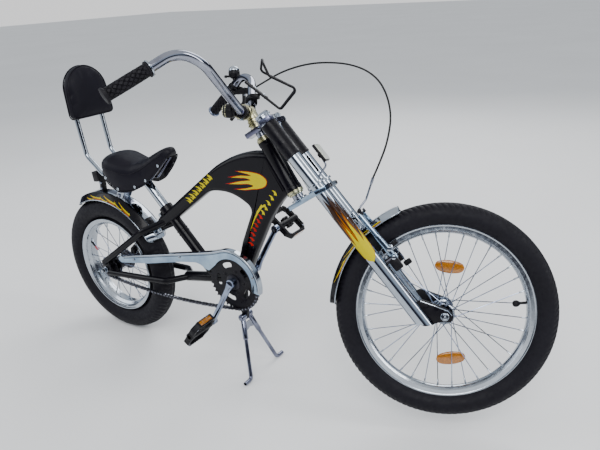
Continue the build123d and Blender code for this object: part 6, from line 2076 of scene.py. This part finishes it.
# back board with screws
G = Geo()
bd_ = [tuple(q) for q in (PO - cen) * 0.93 + cen]
G.put(*prism(bd_, -1.2, 1.2, lambda a, b, h: po + V(0, 1, 0) * a + pu * b + pn * (h + 0.6), 0.8, 2), 0)
for a in (-45, 45):
    for b in (28, 84):
        G.put(*lathe([(0.01, 0), (5.0, 0), (4.6, 1.2), (2.6, 2.2), (0.01, 2.4)], po + V(0, a * 0.62, 0) + pu * b - pn * 0.5, -pn, 20), 1)
G.out("pad_board", "frame", [m_plast, m_steel], False, 40, None, "vinyl")

# the steerer keeps its plain shape inside the head tube
st_o = NODES["steerer"]
st_o.data.materials.clear()
st_o.data.materials.append(m_steel)

# ------------------------------------------------------------------ stage: floor, light
fl = bpy.data.meshes.new("floor")
fl.from_pydata([(-30, -30, 0), (30, -30, 0), (30, 30, 0), (-30, 30, 0)], [], [(0, 1, 2, 3)])
k = NT("floor_pale")
k.l(k.ramp(k.noise(0.8, 3.0), [(0.3, g(0.80)), (0.7, g(0.84))]), k.b.inputs["Base Color"])
k.b.inputs["Roughness"].default_value = 0.75
fl.materials.append(k.m)
floor = bpy.data.objects.new("floor", fl)
bpy.context.scene.collection.objects.link(floor)

w = bpy.data.worlds.new("studio")
bpy.context.scene.world = w
w.use_nodes = True
t = w.node_tree
bg = t.nodes["Background"]
tc = t.nodes.new("ShaderNodeTexCoord")
sx = t.nodes.new("ShaderNodeSeparateXYZ")
t.links.new(tc.outputs["Generated"], sx.inputs[0])
cr = t.nodes.new("ShaderNodeValToRGB")
els = cr.color_ramp.elements
els[0].position, els[0].color = 0.0, (0.22, 0.22, 0.25, 1)
els[1].position, els[1].color = 1.0, (1.0, 1.0, 1.0, 1)
for p, c in ((0.47, (0.30, 0.30, 0.33)), (0.50, (0.035, 0.035, 0.05)), (0.62, (0.05, 0.055, 0.08)), (0.69, (0.62, 0.72, 0.84)), (0.82, (0.90, 0.95, 1.0))):
    e = els.new(p)
    e.color = (*c, 1)
mr = t.nodes.new("ShaderNodeMapRange")
mr.inputs["From Min"].default_value = -1
mr.inputs["From Max"].default_value = 1
t.links.new(sx.outputs["Z"], mr.inputs["Value"])
t.links.new(mr.outputs[0], cr.inputs[0])
lp = t.nodes.new("ShaderNodeLightPath")
mix = t.nodes.new("ShaderNodeMix")
mix.data_type = "RGBA"
t.links.new(lp.outputs["Is Camera Ray"], mix.inputs["Factor"])
t.links.new(cr.outputs["Color"], mix.inputs[6])
mix.inputs[7].default_value = (1.15, 1.15, 1.16, 1)
t.links.new(mix.outputs[2], bg.inputs["Color"])
bg.inputs["Strength"].default_value = 0.92


def area(name, loc, target, size, power, color=(1, 1, 1), size_y=None):
    ld = bpy.data.lights.new(name, "AREA")
    ld.energy = power
    ld.color = color
    ld.shape = "RECTANGLE"
    ld.size = size
    ld.size_y = size_y or size
    o = bpy.data.objects.new(name, ld)
    bpy.context.scene.collection.objects.link(o)
    o.location = loc
    o.rotation_euler = (Vector(target) - Vector(loc)).to_track_quat("-Z", "Y").to_euler()
    return o


area("key", (1.6, -2.6, 3.2), (0, 0, 0.4), 2.4, 105)
area("fill", (-2.8, -1.6, 1.9), (0, 0, 0.4), 2.2, 34, (0.95, 0.97, 1.0))
area("rim", (-0.6, 3.0, 2.6), (0, 0, 0.5), 2.2, 60)
area("strip", (2.6, 0.9, 1.8), (0.2, 0, 0.5), 0.5, 26, (1, 1, 1), 2.2)
